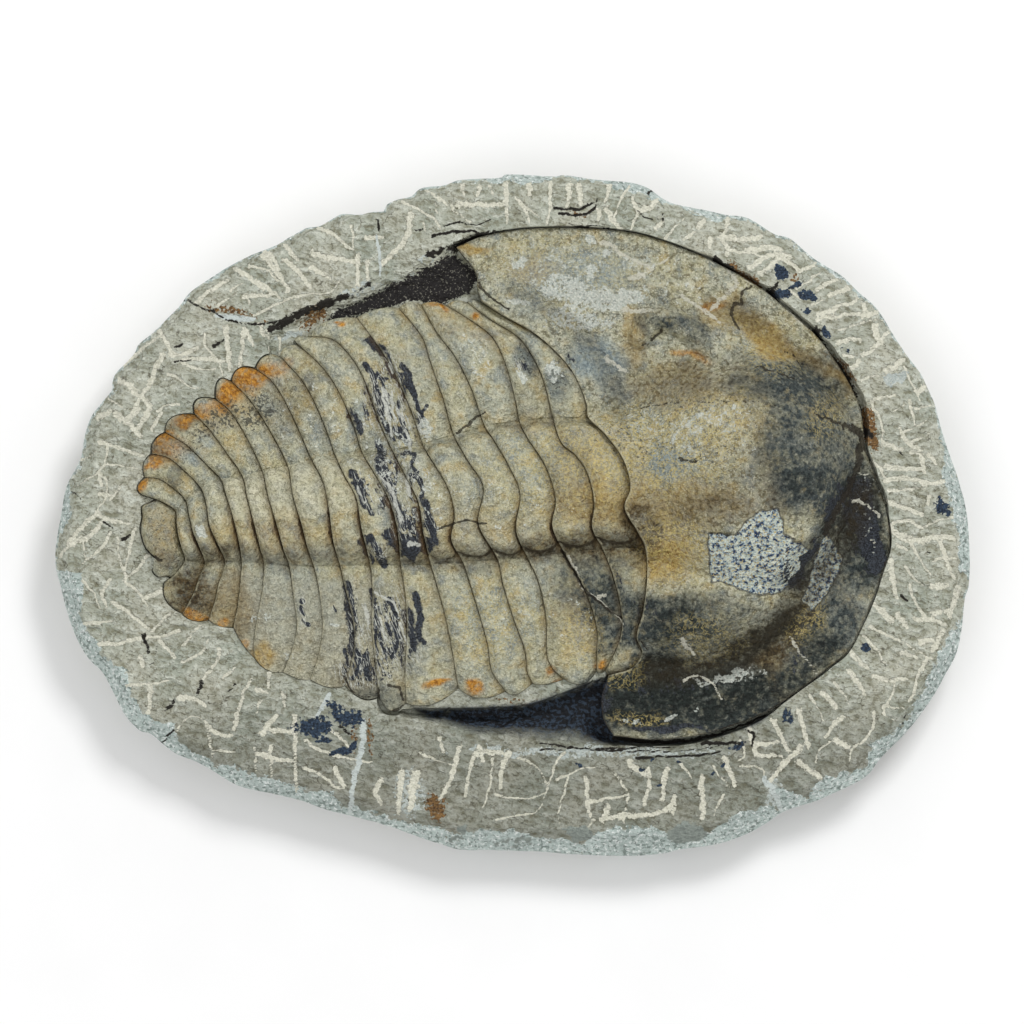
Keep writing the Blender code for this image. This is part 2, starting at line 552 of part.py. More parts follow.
def ray_angles(outline):
    """The angle at which each outline point's ray reaches the slab's edge."""
    length = np.concatenate([[0.0], np.cumsum(np.linalg.norm(np.diff(outline, axis=0), axis=1))])
    where, angles = [], []
    for place, angle in RAY_ANCHORS:
        nearest = np.argmin(np.linalg.norm(outline - np.array(place), axis=1))
        where.append(length[nearest])
        angles.append(angle)
    closing = length[-1] + np.linalg.norm(outline[0] - outline[-1])
    return np.interp(length, where + [closing], angles + [RAY_ANCHORS[0][1] + 360.0])


def crossing(start, end, line):
    """How far from start, in millimetres, the way to end first meets a line, or None."""
    way = end - start
    reach = np.linalg.norm(way)
    best = None
    for a, b in zip(line[:-1], line[1:]):
        side = b - a
        turn = way[0] * side[1] - way[1] * side[0]
        if abs(turn) < 1e-9:
            continue
        gap = a - start
        t = (gap[0] * side[1] - gap[1] * side[0]) / turn
        s = (gap[0] * way[1] - gap[1] * way[0]) / turn
        if 0.0 <= t <= 1.0 and 0.0 <= s <= 1.0 and (best is None or t * reach < best):
            best = t * reach
    return best


def outline_at(angles):
    """Points of the slab's outline in these directions from the origin."""
    curve = smooth_curve(SLAB_OUTLINE, 6, closed=True)
    turn = np.unwrap(np.arctan2(curve[:, 1], curve[:, 0]))
    radius = np.hypot(curve[:, 0], curve[:, 1])
    want = turn[0] + np.mod(np.radians(angles) - turn[0], 2 * math.pi)
    reach = np.interp(want, np.append(turn, turn[0] + 2 * math.pi), np.append(radius, radius[0]))
    return np.stack([reach * np.cos(want), reach * np.sin(want)], axis=1)


def slab_rings(outline):
    """The slab's rings, from its underside over its edge and top to the bed under the fossil."""
    foot = outline + outwards(outline) * POCKET_GAP
    degrees = ray_angles(outline)
    edge = outline_at(degrees)
    way = edge - foot
    reach = np.linalg.norm(way, axis=1)
    way = way / reach[:, None]
    count = len(foot)
    cuts = [smooth_curve(line, 5) for line in (TRENCH_OUTER, UPPER_CLEFT)]
    ledge_line = smooth_curve(TRENCH_LEDGE, 5)
    rim_start, ledge_end = np.full(count, GROOVE_WIDTH), np.full(count, LEDGE_START)
    for i in range(count):
        for cut in cuts:
            hit = crossing(foot[i], edge[i], cut)
            if hit is not None:
                rim_start[i] = max(rim_start[i], hit)
        hit = crossing(foot[i], edge[i], ledge_line)
        if hit is not None and hit < rim_start[i] - GROOVE_WIDTH:
            ledge_end[i] = max(ledge_end[i], hit)
    outer = by_angle(RIM_BY_ANGLE, degrees, 1)
    filler_width = by_angle(RIM_BY_ANGLE, degrees, 2)
    filler_drop = by_angle(RIM_BY_ANGLE, degrees, 3)
    foot_inset = by_angle(RIM_BY_ANGLE, degrees, 4)
    inner = by_angle(GROOVE_BY_ANGLE, degrees, 1)
    floor = by_angle(GROOVE_BY_ANGLE, degrees, 2)
    ledge = np.where(ledge_end > LEDGE_START, LEDGE_TOP, floor)

    def ring(distance, height, rough=0.0):
        plan = foot + way * np.asarray(distance).reshape(-1, 1)
        level = height + rough * broken(plan[:, 0], plan[:, 1])
        return np.column_stack([plan, level])

    rim_end = reach - filler_width
    width = rim_end - rim_start
    inset = (foot_inset / np.linalg.norm(edge, axis=1))[:, None]
    bed = outline + outwards(outline) * BED_GAP
    return [
        np.column_stack([edge * (1 - inset), np.zeros(count)]),
        np.column_stack([edge * (1 - WALL_MIDDLE_SHARE * inset), np.full(count, WALL_MIDDLE)]),
        np.column_stack([edge, outer - filler_drop]),
        ring(rim_end, outer, CHIP),
        ring(rim_start + OUTER_RIM_SHARE * width, inner + OUTER_RIM_SHARE * (outer - inner), 2 * CHIP),
        ring(rim_start + INNER_RIM_SHARE * width, inner + INNER_RIM_SHARE * (outer - inner), 2 * CHIP),
        ring(rim_start, inner, CHIP),
        ring(np.maximum(rim_start - GROOVE_BANK, ledge_end + GROOVE_BANK), floor),
        ring(ledge_end + LEDGE_BANK, floor),
        ring(ledge_end, ledge),
        ring(np.zeros(count), ledge),
        np.column_stack([bed, np.full(count, BED_TOP)]),
    ]


def main():
    clear_scene()
    collection = bpy.data.collections.new(COLLECTION)
    bpy.context.scene.collection.children.link(collection)
    seams = [seam_points(seam) for seam in SEAMS]
    head = make_head(seams[0], stone("cephalon_stone", (0.20, 0.19, 0.13), 0.6), collection)
    segments = []
    for number in range(1, len(seams)):
        material = stone(f"segment_{number:02d}_stone", (0.33, 0.30, 0.20), 0.7)
        segments.append(make_segment(number, seams[number - 1], seams[number], material, collection))
    tail = make_tail(seams[-1], stone("pygidium_stone", (0.28, 0.25, 0.15), 0.7), collection)
    rings = slab_rings(fossil_outline(head, segments, tail))
    ringed_solid("matrix_slab", rings, stone("matrix_stone", (0.30, 0.31, 0.26), 0.9), collection)


main()
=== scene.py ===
"""The looks of a large fossil trilobite on its oval slab: fine meshes, stone materials, light and camera.

Plan positions are millimetres in the part's own frame: X towards the head, Y towards the
upper pleurae, Z up from the plane that the slab rests on. Meshes are scaled to metres when made.
"""

import math

import bmesh
import bpy
import numpy as np
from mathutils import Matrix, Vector


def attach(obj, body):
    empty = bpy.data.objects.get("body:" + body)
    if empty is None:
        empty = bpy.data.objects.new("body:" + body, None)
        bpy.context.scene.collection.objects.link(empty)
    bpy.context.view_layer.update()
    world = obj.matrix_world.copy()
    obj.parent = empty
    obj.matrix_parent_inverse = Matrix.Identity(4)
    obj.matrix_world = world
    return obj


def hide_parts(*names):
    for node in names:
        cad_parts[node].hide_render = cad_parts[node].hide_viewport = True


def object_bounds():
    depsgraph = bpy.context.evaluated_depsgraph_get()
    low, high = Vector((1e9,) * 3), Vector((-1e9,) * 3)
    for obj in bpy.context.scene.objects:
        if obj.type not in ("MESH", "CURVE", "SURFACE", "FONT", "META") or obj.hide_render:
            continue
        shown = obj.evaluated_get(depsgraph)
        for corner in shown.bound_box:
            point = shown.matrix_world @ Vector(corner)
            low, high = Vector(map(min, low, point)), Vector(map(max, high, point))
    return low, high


MM = 0.001

# Heights and forms as in the part's solids, with narrower gaps between the pieces
BED_TOP = 25.7
PLATE_UNDERSIDE = 26.0
PLEURA_TIP = 31.2
BORDER_TOP = 31.6
CHEEK_TOP = 36.4
FURROW_BY_X = [(-130.0, 32.6), (40.0, 36.0)]
AXIS_RISE_BY_X = [(-130.0, 3.6), (-60.0, 6.6), (30.0, 10.0)]
AXIS_ROUNDNESS = 0.7
PLEURA_SWELL = 2.2
OVERLAP_STEP = 1.7
OVERLAP_DIP = 0.9
OVERLAP_ROW = 0.85
PLATE_GAP = 0.1
POCKET_GAP = 0.12
BED_GAP = 0.1
CHIP = 0.55
WALL_MIDDLE = 12.0
WALL_MIDDLE_SHARE = 0.45
OUTER_RIM_SHARE = 0.62
INNER_RIM_SHARE = 0.25
LEDGE_START = 0.06
LEDGE_BANK = 0.2
LEDGE_TOP = 29.6
# Distance from an edge within which a plate is rounded down
SEGMENT_BEVEL = 0.7
TIP_BEVEL = 2.2
HEAD_REAR_BEVEL = 0.9
HEAD_BEVEL = 2.4
# Rows crowd towards the seams by this much
ROW_CROWDING = 0.06
# Where along a pleura its furrow begins and ends, and the row and half width of that furrow
PLEURA_START = 0.12
PLEURA_END = 0.2
FURROW_ROW = 0.36
FURROW_HALF_WIDTH = 0.1
WORN_START = 0.02
WORN_FADE = 0.2
# The swellings at both ends of a ring and the troughs past them: place and width in millimetres
ARCH_END = 0.97
ARCH_ROUNDNESS = 0.6
UPPER_LOBE_SAG = 0.04
LOWER_LOBE_SPREAD = (-4.0, 3.2)
UPPER_LOBE_SPREAD = (-3.0, 2.4)
TROUGH_SPREAD = (0.7, 1.1)
# Half width in millimetres of the painted shadow line along the lower edge of each ring's lobe
LOBE_SHADOW_HALF_WIDTH = 0.4
# Distance from a seam that counts as no seam at all
NO_SEAM = 9.0
FAR = 1e9
BOX_MARGIN = 0.004
SHARP_ANGLE = 48
# The gap between rock and fossil, by angle from +X
GAP_BY_ANGLE = [
    (-60, 1.2), (-30, 0.8), (-5, 0.8), (6, 1.3), (13, 2.4), (28, 2.6), (35, 1.2), (42, 2.2), (50, 1.6),
    (57, 0.5), (75, 0.35), (90, 0.4), (120, 0.6), (180, 0.6), (194, 0.5), (200, 0.14), (228, 0.14),
    (236, 0.8), (300, 1.2),
]

# Fineness of the meshes
STEP = 0.38
SEGMENT_ROWS = 34
HEAD_ROWS = 190
HEAD_COLUMNS = 440
TAIL_RING_STEPS = 26
SLAB_STATIONS = 1160
# Rings between each pair of the slab's control rings, from its underside over its top to the bed
SLAB_STEPS = (3, 4, 6, 20, 20, 14, 2, 5, 1, 5, 1)

SLAB_OUTLINE = [
    (165.2, -13.2), (164.6, -5.1), (163.7, 2.4), (161.8, 9.9), (159.9, 16.1), (157.4, 23.0), (154.6, 31.9),
    (152.5, 40.0), (150.0, 45.6), (147.5, 51.2), (142.5, 58.0), (138.1, 64.2), (134.4, 70.5), (130.6, 75.8),
    (125.0, 80.5), (119.4, 86.1), (114.4, 89.2), (109.4, 92.3), (105.7, 95.4), (100.0, 100.1), (95.0, 101.4),
    (90.1, 104.5), (87.0, 106.4), (83.2, 107.8), (76.7, 108.5), (70.3, 110.1), (63.9, 111.4), (57.5, 113.0),
    (54.0, 114.7), (49.9, 117.7), (44.6, 119.8), (39.9, 120.5), (28.2, 121.5), (18.3, 122.9), (15.4, 122.3),
    (-2.5, 123.2), (-3.9, 122.0), (-13.2, 121.5), (-20.2, 120.9), (-24.3, 119.5), (-32.5, 118.3),
    (-34.2, 117.4), (-36.6, 115.1), (-41.8, 113.9), (-45.8, 111.9), (-46.2, 109.8), (-50.6, 109.5),
    (-55.3, 108.5), (-61.7, 108.7), (-65.8, 106.6), (-69.9, 104.3), (-74.6, 103.7), (-81.5, 100.1),
    (-85.0, 97.8), (-89.7, 95.7), (-94.9, 93.7), (-103.1, 89.6), (-110.1, 84.9), (-116.6, 80.3),
    (-120.1, 75.9), (-125.9, 69.8), (-130.0, 65.7), (-135.3, 61.3), (-136.4, 58.6), (-139.4, 55.1),
    (-143.5, 50.8), (-144.6, 47.5), (-144.6, 45.2), (-148.7, 40.0), (-151.9, 35.8), (-154.1, 30.0),
    (-155.1, 25.0), (-156.0, 20.0), (-161.1, 10.0), (-163.2, 0.0), (-164.5, -8.0), (-165.2, -18.0),
    (-163.1, -26.4), (-160.6, -36.0), (-156.9, -45.5), (-153.2, -52.1), (-148.1, -57.3), (-144.4, -63.9),
    (-140.7, -71.2), (-134.8, -77.9), (-130.4, -79.3), (-126.0, -83.0), (-120.9, -86.7), (-114.3, -89.2),
    (-106.9, -93.3), (-99.5, -97.7), (-89.3, -100.3), (-76.8, -103.1), (-67.2, -106.5), (-57.4, -108.9),
    (-46.5, -112.0), (-36.3, -115.5), (-27.0, -118.6), (-18.4, -121.0), (-7.5, -121.0), (16.0, -122.2),
    (38.6, -123.3), (54.5, -122.3), (59.9, -120.9), (73.8, -118.9), (84.1, -115.4), (91.6, -111.3),
    (97.9, -107.1), (109.6, -103.4), (118.5, -99.5), (127.5, -94.8), (132.3, -88.6), (141.9, -78.9),
    (149.5, -69.3), (156.4, -57.6), (160.2, -50.0), (162.1, -41.3), (163.3, -30.1), (164.6, -26.3),
]

# The seams between plates, from the one behind the head to the one before the tail.
# Each goes from its upper tip to the axis, across the axis, and on to its lower tip.
SEAMS = [
    ([(-11.3, 76.5), (-3.3, 71.2), (7.2, 65.1), (16.0, 57.5), (22.4, 49.3), (26.5, 39.5), (27.3, 34.0)],
     [(32.9, 28.1), (39.6, 18.5), (42.3, 8.0), (40.2, 1.0), (45.0, -7.5), (47.6, -12.5)],
     [(48.4, -23.0), (46.8, -36.5), (44.6, -45.0), (46.5, -50.5), (43.0, -56.0), (34.6, -58.8)]),
    ([(-16.4, 76.4), (-8.5, 70.2), (2.0, 63.4), (7.4, 56.0), (11.6, 46.4), (14.6, 34.0)],
     [(17.7, 24.5), (22.9, 19.8), (27.1, 13.0), (29.3, 2.5), (28.6, -6.0), (32.3, -13.0)],
     [(35.8, -21.9), (38.8, -33.6), (39.3, -42.0), (37.5, -49.0), (33.4, -56.8)]),
    ([(-24.0, 75.3), (-14.4, 69.2), (-6.8, 62.8), (-2.1, 52.3), (1.3, 39.5), (2.5, 33.0)],
     [(5.4, 26.6), (11.9, 16.1), (15.5, 4.0), (14.3, -5.5), (18.6, -14.5)],
     [(25.3, -26.5), (28.6, -34.7), (30.5, -43.0), (30.4, -50.0), (30.2, -57.0)]),
    ([(-33.0, 75.6), (-27.2, 65.1), (-20.8, 56.5), (-15.0, 45.2), (-9.9, 31.0)],
     [(-7.1, 26.6), (-1.5, 16.7), (2.8, 6.2), (1.3, -7.0), (5.5, -16.5)],
     [(9.5, -25.4), (12.2, -39.4), (12.4, -51.0), (14.4, -56.0), (18.6, -59.8)]),
    ([(-41.0, 74.4), (-32.5, 63.4), (-29.6, 54.6), (-24.6, 40.0), (-21.1, 28.0)],
     [(-16.1, 18.5), (-10.4, 8.5), (-12.2, -4.6), (-5.3, -17.0)],
     [(-3.4, -26.0), (0.8, -39.4), (4.6, -50.0), (5.4, -57.5), (7.2, -61.2)]),
    ([(-56.0, 70.8), (-45.0, 55.0), (-37.0, 38.0), (-32.2, 24.5)],
     [(-29.6, 19.6), (-23.2, 8.5), (-20.8, -1.5), (-22.0, -10.2), (-17.9, -17.8)],
     [(-15.0, -26.5), (-11.8, -37.0), (-8.8, -48.0), (-7.4, -57.0), (-2.5, -64.2)]),
    ([(-74.0, 64.0), (-65.0, 62.8), (-58.2, 56.4), (-53.5, 48.2), (-48.0, 33.0), (-43.2, 22.3)],
     [(-39.0, 14.0), (-33.8, 3.0), (-32.0, -8.0), (-29.4, -18.8)],
     [(-26.9, -27.1), (-23.7, -39.4), (-21.5, -51.0), (-19.5, -63.0)]),
    ([(-77.5, 61.2), (-68.7, 52.8), (-62.9, 44.3), (-57.4, 32.0), (-54.0, 21.5)],
     [(-50.0, 14.5), (-44.3, 4.0), (-41.3, -7.0), (-40.2, -19.0)],
     [(-38.5, -30.0), (-38.0, -44.0), (-38.6, -56.0), (-38.4, -68.5)]),
    ([(-84.0, 57.0), (-74.9, 46.5), (-68.3, 33.0), (-63.5, 19.8)],
     [(-60.4, 13.0), (-56.2, 5.0), (-54.3, -6.0), (-51.2, -19.0)],
     [(-50.4, -29.0), (-50.6, -41.0), (-49.6, -52.0), (-48.2, -66.0)]),
    ([(-92.6, 52.3), (-86.2, 47.0), (-79.8, 36.0), (-72.2, 19.0)],
     [(-68.1, 10.9), (-66.0, 1.0), (-64.4, -11.0), (-62.0, -19.3)],
     [(-60.0, -28.0), (-57.4, -39.0), (-57.0, -49.0), (-60.2, -62.2)]),
    ([(-101.3, 47.6), (-95.0, 41.2), (-88.0, 30.7), (-80.9, 16.8)],
     [(-79.0, 6.0), (-76.0, -4.0), (-73.7, -13.1), (-71.5, -19.4)],
     [(-69.3, -30.0), (-68.3, -42.0), (-70.0, -52.0), (-72.8, -60.0)]),
    ([(-107.0, 41.3), (-102.0, 37.0), (-96.2, 28.0), (-90.0, 14.9)],
     [(-88.0, 6.1), (-84.7, -5.0), (-82.2, -14.0), (-80.3, -19.3)],
     [(-78.8, -30.0), (-77.6, -41.0), (-79.5, -50.0), (-82.6, -57.3)]),
    ([(-114.6, 35.8), (-109.6, 30.6), (-104.0, 23.0), (-97.2, 13.0)],
     [(-95.5, 5.5), (-93.2, -3.3), (-90.9, -12.6), (-89.5, -18.2)],
     [(-90.0, -28.0), (-91.8, -38.0), (-93.2, -47.0), (-93.0, -52.0)]),
    ([(-125.2, 29.3), (-117.2, 24.3), (-110.0, 17.2), (-105.0, 12.0)],
     [(-103.3, 7.0), (-100.5, -2.0), (-98.3, -11.5), (-97.5, -18.0)],
     [(-98.0, -26.0), (-99.0, -34.0), (-100.5, -41.2)]),
    ([(-130.0, 21.5), (-124.2, 20.0), (-118.0, 15.0), (-112.3, 9.0)],
     [(-110.2, 3.0), (-108.9, -5.0), (-105.6, -12.5), (-103.5, -17.8)],
     [(-105.8, -26.0), (-107.3, -32.5), (-109.5, -38.6)]),
    ([(-132.6, 13.0), (-127.2, 12.2), (-121.8, 8.6), (-117.8, 4.6)],
     [(-116.4, -1.0), (-115.0, -7.0), (-112.5, -13.0), (-110.8, -18.2)],
     [(-112.4, -22.5), (-115.0, -29.5), (-119.0, -36.2)]),
    ([(-133.6, 6.6), (-128.6, 5.0), (-124.4, 3.0), (-121.4, 0.6)],
     [(-120.9, -4.0), (-120.2, -8.5), (-119.0, -13.0), (-117.9, -17.0)],
     [(-119.6, -20.0), (-122.0, -22.7), (-125.4, -24.8)]),
]
UPPER_TIPS = [
    (-13.8, 77.0), (-20.2, 76.9), (-28.5, 76.4), (-37.0, 76.4), (-48.5, 73.9), (-66.5, 69.6),
    (-78.4, 63.4), (-81.8, 60.0), (-89.3, 56.8), (-98.6, 52.2), (-105.8, 48.0), (-113.6, 41.0),
    (-122.6, 34.6), (-129.0, 26.2), (-132.8, 18.0), (-135.0, 9.4),
]
LOWER_TIPS = [
    (34.2, -58.2), (31.8, -57.6), (25.0, -61.6), (11.0, -61.8), (1.5, -65.2), (-12.0, -66.6),
    (-29.0, -68.8), (-43.6, -71.2), (-53.8, -66.8), (-66.0, -62.8), (-76.8, -59.8),
    (-88.2, -56.6), (-96.8, -47.6), (-105.2, -40.8), (-114.8, -38.8), (-124.6, -31.4),
]
# How far out along a pleura its end begins to follow the tip
TIP_START = 4.0 / 7.0
# The rib of each plate, the furrow along a pleura, and the lobes at both ends of each axial ring.
# An end is a share of the way across the axis.
RIB_RISE = 1.3
FURROW_DEPTH = 0.45
LOWER_LOBE_RISE = 1.7
LOWER_LOBE_END = 0.90
LOWER_LOBE_SAG = 0.07
UPPER_LOBE_RISE = 0.9
UPPER_LOBE_END = 0.07
LOBE_TROUGH = 1.1
# By segment number: how worn the lower pleurae are, how lobed the rings' ends are, where across
# the axis the seams' painted shadow is strongest, and how far the rings' upper parts stand up as blocks
WORN_BY_SEGMENT = [(6.0, 0.0), (8.0, 0.5), (9.0, 0.9), (13.0, 1.0), (14.0, 0.5), (15.0, 0.0)]
LOBES_BY_SEGMENT = [(5.0, 1.0), (7.0, 0.4), (9.0, 0.0)]
SEAM_SHADOW_BY_SEGMENT = [(5.0, 0.85), (8.0, 0.66)]
BLOCK_BY_SEGMENT = [(7.0, 0.0), (9.0, 0.8), (13.0, 1.0), (14.5, 0.0)]
BLOCK_END = 0.54
BLOCK_RISE = 0.7

HEAD_FRONT = [
    (36.5, -80.1), (50.2, -81.4), (66.0, -80.1), (79.0, -76.6), (92.0, -71.3), (102.0, -64.5),
    (112.0, -57.0), (121.3, -48.8), (128.8, -33.2), (133.4, -21.0), (135.8, -12.0), (134.4, 2.4),
    (130.6, 13.6), (127.2, 23.0), (125.4, 38.0), (119.4, 50.6), (110.6, 63.0), (100.0, 73.0),
    (88.2, 82.4), (73.8, 90.5), (59.2, 96.9), (44.6, 101.3), (28.2, 103.1), (5.4, 103.0),
    (-10.3, 100.4), (-20.2, 96.3),
]
HEAD_LOWER_END = [(34.6, -58.8), (32.2, -66.0), (32.8, -74.0), (36.5, -80.1)]
HEAD_UPPER_END = [(-11.3, 76.5), (-12.6, 81.0), (-13.2, 87.0), (-20.2, 96.3)]
DOME_CENTRE = (83.0, 14.5)
DOME_RADIUS = 44.5
DOME_RISE = 18.5
DOME_FLATNESS = 2.6
DOME_SOFTNESS = 1.15
NECK_LINE = [(34.0, 9.0), (60.0, 10.0), (86.0, 13.0)]
NECK_HALF_WIDTH = 27.0
NECK_RISE = 11.5
EYE_LOBE = [(46.4, 63.5), (50.0, 68.6), (56.0, 69.4), (63.0, 66.0), (71.0, 60.0), (76.0, 57.0)]
EYE_HALF_WIDTH = 5.2
EYE_RISE = 4.6
LOWER_CHEEK = (66.0, -36.0)
LOWER_CHEEK_SPREAD = (34.0, 19.0)
LOWER_CHEEK_RISE = 6.0
LOWER_VALLEY = [
    (50.0, -57.0), (62.0, -56.3), (77.0, -52.4), (89.6, -45.0), (98.5, -36.5), (106.0, -27.5),
    (114.5, -17.0), (121.0, -6.0), (126.0, 6.0),
]
UPPER_VALLEY = [(72.0, 75.0), (83.0, 70.5), (93.0, 65.0), (103.0, 58.0), (112.0, 52.0), (121.0, 44.0)]
LOWER_VALLEY_DEPTH = 5.6
LOWER_VALLEY_HALF_WIDTH = 12.0
UPPER_VALLEY_DEPTH = 3.2
UPPER_VALLEY_HALF_WIDTH = 8.0
REAR_FURROW_DEPTH = 1.6
REAR_FURROW_HALF_WIDTH = 4.5
REAR_FURROW = [(0.0, 80.0), (14.0, 72.5), (25.0, 64.0), (32.0, 54.0), (36.5, 43.0), (38.5, 35.0)]
HEAD_LOWEST = 30.6
BORDER_SLOPE = 24.0
REAR_EDGE_STEP = 1.2
REAR_EDGE_ROW = 0.16

TAIL_EDGE = [
    (-130.0, 4.0), (-133.3, 2.4), (-133.2, -1.5), (-133.9, -6.0), (-132.3, -12.0), (-129.4, -15.6),
    (-126.7, -17.6), (-129.6, -20.4), (-127.6, -23.0), (-124.4, -22.7),
]
# The tail plate's edge follows the last seam between these shares of the seam's three stretches
TAIL_UPPER_SHARE = 3.0 / 7.0
TAIL_LOWER_SHARE = 5.0 / 7.0
TAIL_MIDDLE = (-126.6, -6.5)
TAIL_RINGS = [(1.0, 32.0), (0.86, 34.0), (0.6, 35.7), (0.28, 36.2), (0.0, 36.2)]

TRENCH_OUTER = [
    (-50.0, -71.5), (-40.0, -73.4), (-30.9, -74.8), (-13.7, -78.9), (8.2, -81.3), (31.6, -83.3),
    (60.3, -83.6), (76.0, -80.2), (88.0, -75.5), (96.0, -70.3),
]
TRENCH_LEDGE = [
    (-44.0, -72.0), (-36.0, -70.2), (-23.0, -70.2), (4.3, -69.0), (16.0, -65.4), (30.0, -60.0),
    (34.6, -59.2),
]
UPPER_CLEFT = [
    (-92.0, 62.5), (-87.4, 66.3), (-76.3, 72.5), (-69.9, 75.5), (-59.9, 78.5), (-50.0, 84.0),
    (-40.0, 89.6), (-30.0, 93.0), (-20.2, 98.0), (-13.0, 101.6),
]
RAY_ANCHORS = [
    ((36.5, -80.1), -72.5), ((66.0, -80.1), -54.0), ((112.0, -57.0), -27.5), ((135.8, -12.0), -4.5),
    ((125.4, 38.0), 18.0), ((88.2, 82.4), 43.0), ((28.2, 103.1), 75.0), ((-10.3, 100.4), 97.0),
    ((-20.2, 96.3), 107.0), ((-13.2, 87.0), 115.0), ((-11.3, 76.5), 119.0), ((-24.0, 75.3), 122.0),
    ((-74.0, 64.0), 139.0), ((-114.6, 35.8), 162.5), ((-133.9, -6.0), 182.5),
    ((-125.4, -24.8), 192.5), ((-93.0, -52.0), 210.0), ((-48.2, -66.0), 234.0),
    ((7.2, -61.2), 261.0), ((30.2, -57.0), 268.0), ((34.6, -58.8), 270.0), ((32.8, -74.0), 280.5),
]
RIM_BY_ANGLE = [
    (0, 29.5, 5.5, 5.0, 9.0), (45, 30.5, 3.5, 4.0, 12.0), (90, 31.0, 3.0, 4.0, 13.0),
    (135, 30.5, 4.0, 4.0, 12.0), (180, 29.5, 5.0, 5.0, 9.0), (225, 28.5, 7.0, 7.0, 7.0),
    (270, 28.5, 9.0, 9.0, 6.0), (315, 28.5, 7.0, 7.0, 7.0), (360, 29.5, 5.5, 5.0, 9.0),
]
GROOVE_BY_ANGLE = [
    (-68, 26.5, 19.5), (-54, 27.5, 20.5), (-40, 29.5, 23.0), (-20, 31.0, 26.0), (0, 32.0, 27.0),
    (20, 33.0, 27.0), (45, 33.5, 27.5), (75, 34.0, 28.0), (96, 33.5, 27.5), (105, 33.5, 26.4),
    (125, 33.0, 26.6), (142, 32.0, 27.5), (165, 30.8, 28.0), (194, 30.6, 28.4), (200, 31.0, 30.2),
    (215, 31.0, 30.4), (228, 30.8, 30.0), (234, 30.0, 28.0), (240, 29.0, 24.0), (248, 27.5, 19.5),
    (270, 26.8, 18.8), (292, 26.5, 19.5),
]

# How strongly the grain shows
HEAD_GRIT = 1.0
THORAX_GRIT = 0.62

# Light and view
WORLD_LIGHT = 0.62
KEY_PLACE = (0.6, 0.95, 1.6)
KEY_SIZE = 0.6
KEY_POWER = 17.0
FILL_PLACE = (-0.8, -0.7, 1.9)
FILL_SIZE = 1.6
FILL_POWER = 9.0
VIEW_ELEVATION = 86.0

# Marks on the rock, read off the specimen. Each line holds x, y, x, y and so on.

# The preparator's cream chisel strokes
STROKES_LOWER_LEFT = [
    (-149, -47, -142, -47, -133, -45, -127, -44.5, -120, -42), (-127, -46, -121.5, -52),
    (-119, -48, -115, -43, -112, -40), (-119, -54, -112, -50, -109.5, -45.5),
    (-105.5, -49, -107, -54, -111.5, -60.5), (-104, -59, -99, -55), (-139, -62, -133, -61.5, -124, -60.5),
    (-130.5, -62, -131, -72), (-134, -52, -133, -55), (-119.5, -66.5, -114, -67, -110, -69.5),
    (-121, -78, -117, -73.5, -113, -73.5, -110, -75.5), (-110, -76, -109, -82, -108, -89.5),
    (-109, -77, -106, -79.5, -101, -80), (-100.5, -78, -98, -70, -96.5, -64, -94, -60),
    (-90.5, -67, -93, -73.5), (-87.5, -58, -87.5, -63), (-83, -65, -82, -69.5), (-92, -63.5, -88, -65),
    (-90, -79, -87, -75, -84.5, -73), (-86.5, -78, -79, -79), (-106.5, -85.5, -99, -86),
    (-93, -84, -92, -94), (-87, -84, -86.5, -96), (-91, -87, -80, -89.5), (-78.5, -73, -78, -100),
]
STROKES_LOWER = [
    (-70.5, -74, -64, -79, -59, -84), (-75, -82, -68, -86, -58, -88.5, -51, -89.5),
    (-75, -91.5, -68, -95, -61.5, -100), (-64, -92, -60.5, -98.5), (-47, -96, -49, -100, -47, -105),
    (-21, -91, -22, -96, -26.5, -103), (-19, -84, -20.5, -90), (-13, -86, -15.5, -93, -17, -102),
    (-7, -88, -7.5, -95, -9.5, -103, -11, -106), (-1, -86, -3.5, -91, -4.5, -99), (-12, -84, -10.5, -89),
    (-9, -86, -3, -86.5), (-6, -101.5, 5, -103, 11, -101), (-33, -86.5, -22, -90.5), (-26, -81, -25, -86),
    (2, -88, 8, -91, 11, -95, 12, -100, 10, -106), (19, -86, 16, -89, 14, -94, 12.5, -100),
    (20, -94, 18.5, -101, 16.5, -108, 17.5, -113), (15.5, -96, 20, -94, 25, -92, 31, -91.5),
    (26.5, -95, 27, -103), (27, -104, 34, -103, 41, -101.5),
    (37, -94, 40, -98, 42, -101, 40.5, -106, 40, -112), (27, -105, 28.5, -111, 26.5, -113),
    (34, -106, 32, -111), (33, -110, 40, -109, 50, -108.5, 56, -107, 58.5, -102),
    (49, -92, 49, -98, 47.5, -105), (55.5, -92, 54.5, -98, 54, -103.5), (58.5, -102, 58, -109),
    (68, -95, 68.5, -102, 68.5, -110), (76.5, -101, 74, -105, 72.5, -109), (60.5, -90, 65, -96),
    (76, -88, 80, -98), (72, -91, 78, -99), (-6, -111, 0, -109, 8, -108, 10, -105), (42, -90, 47, -94),
]
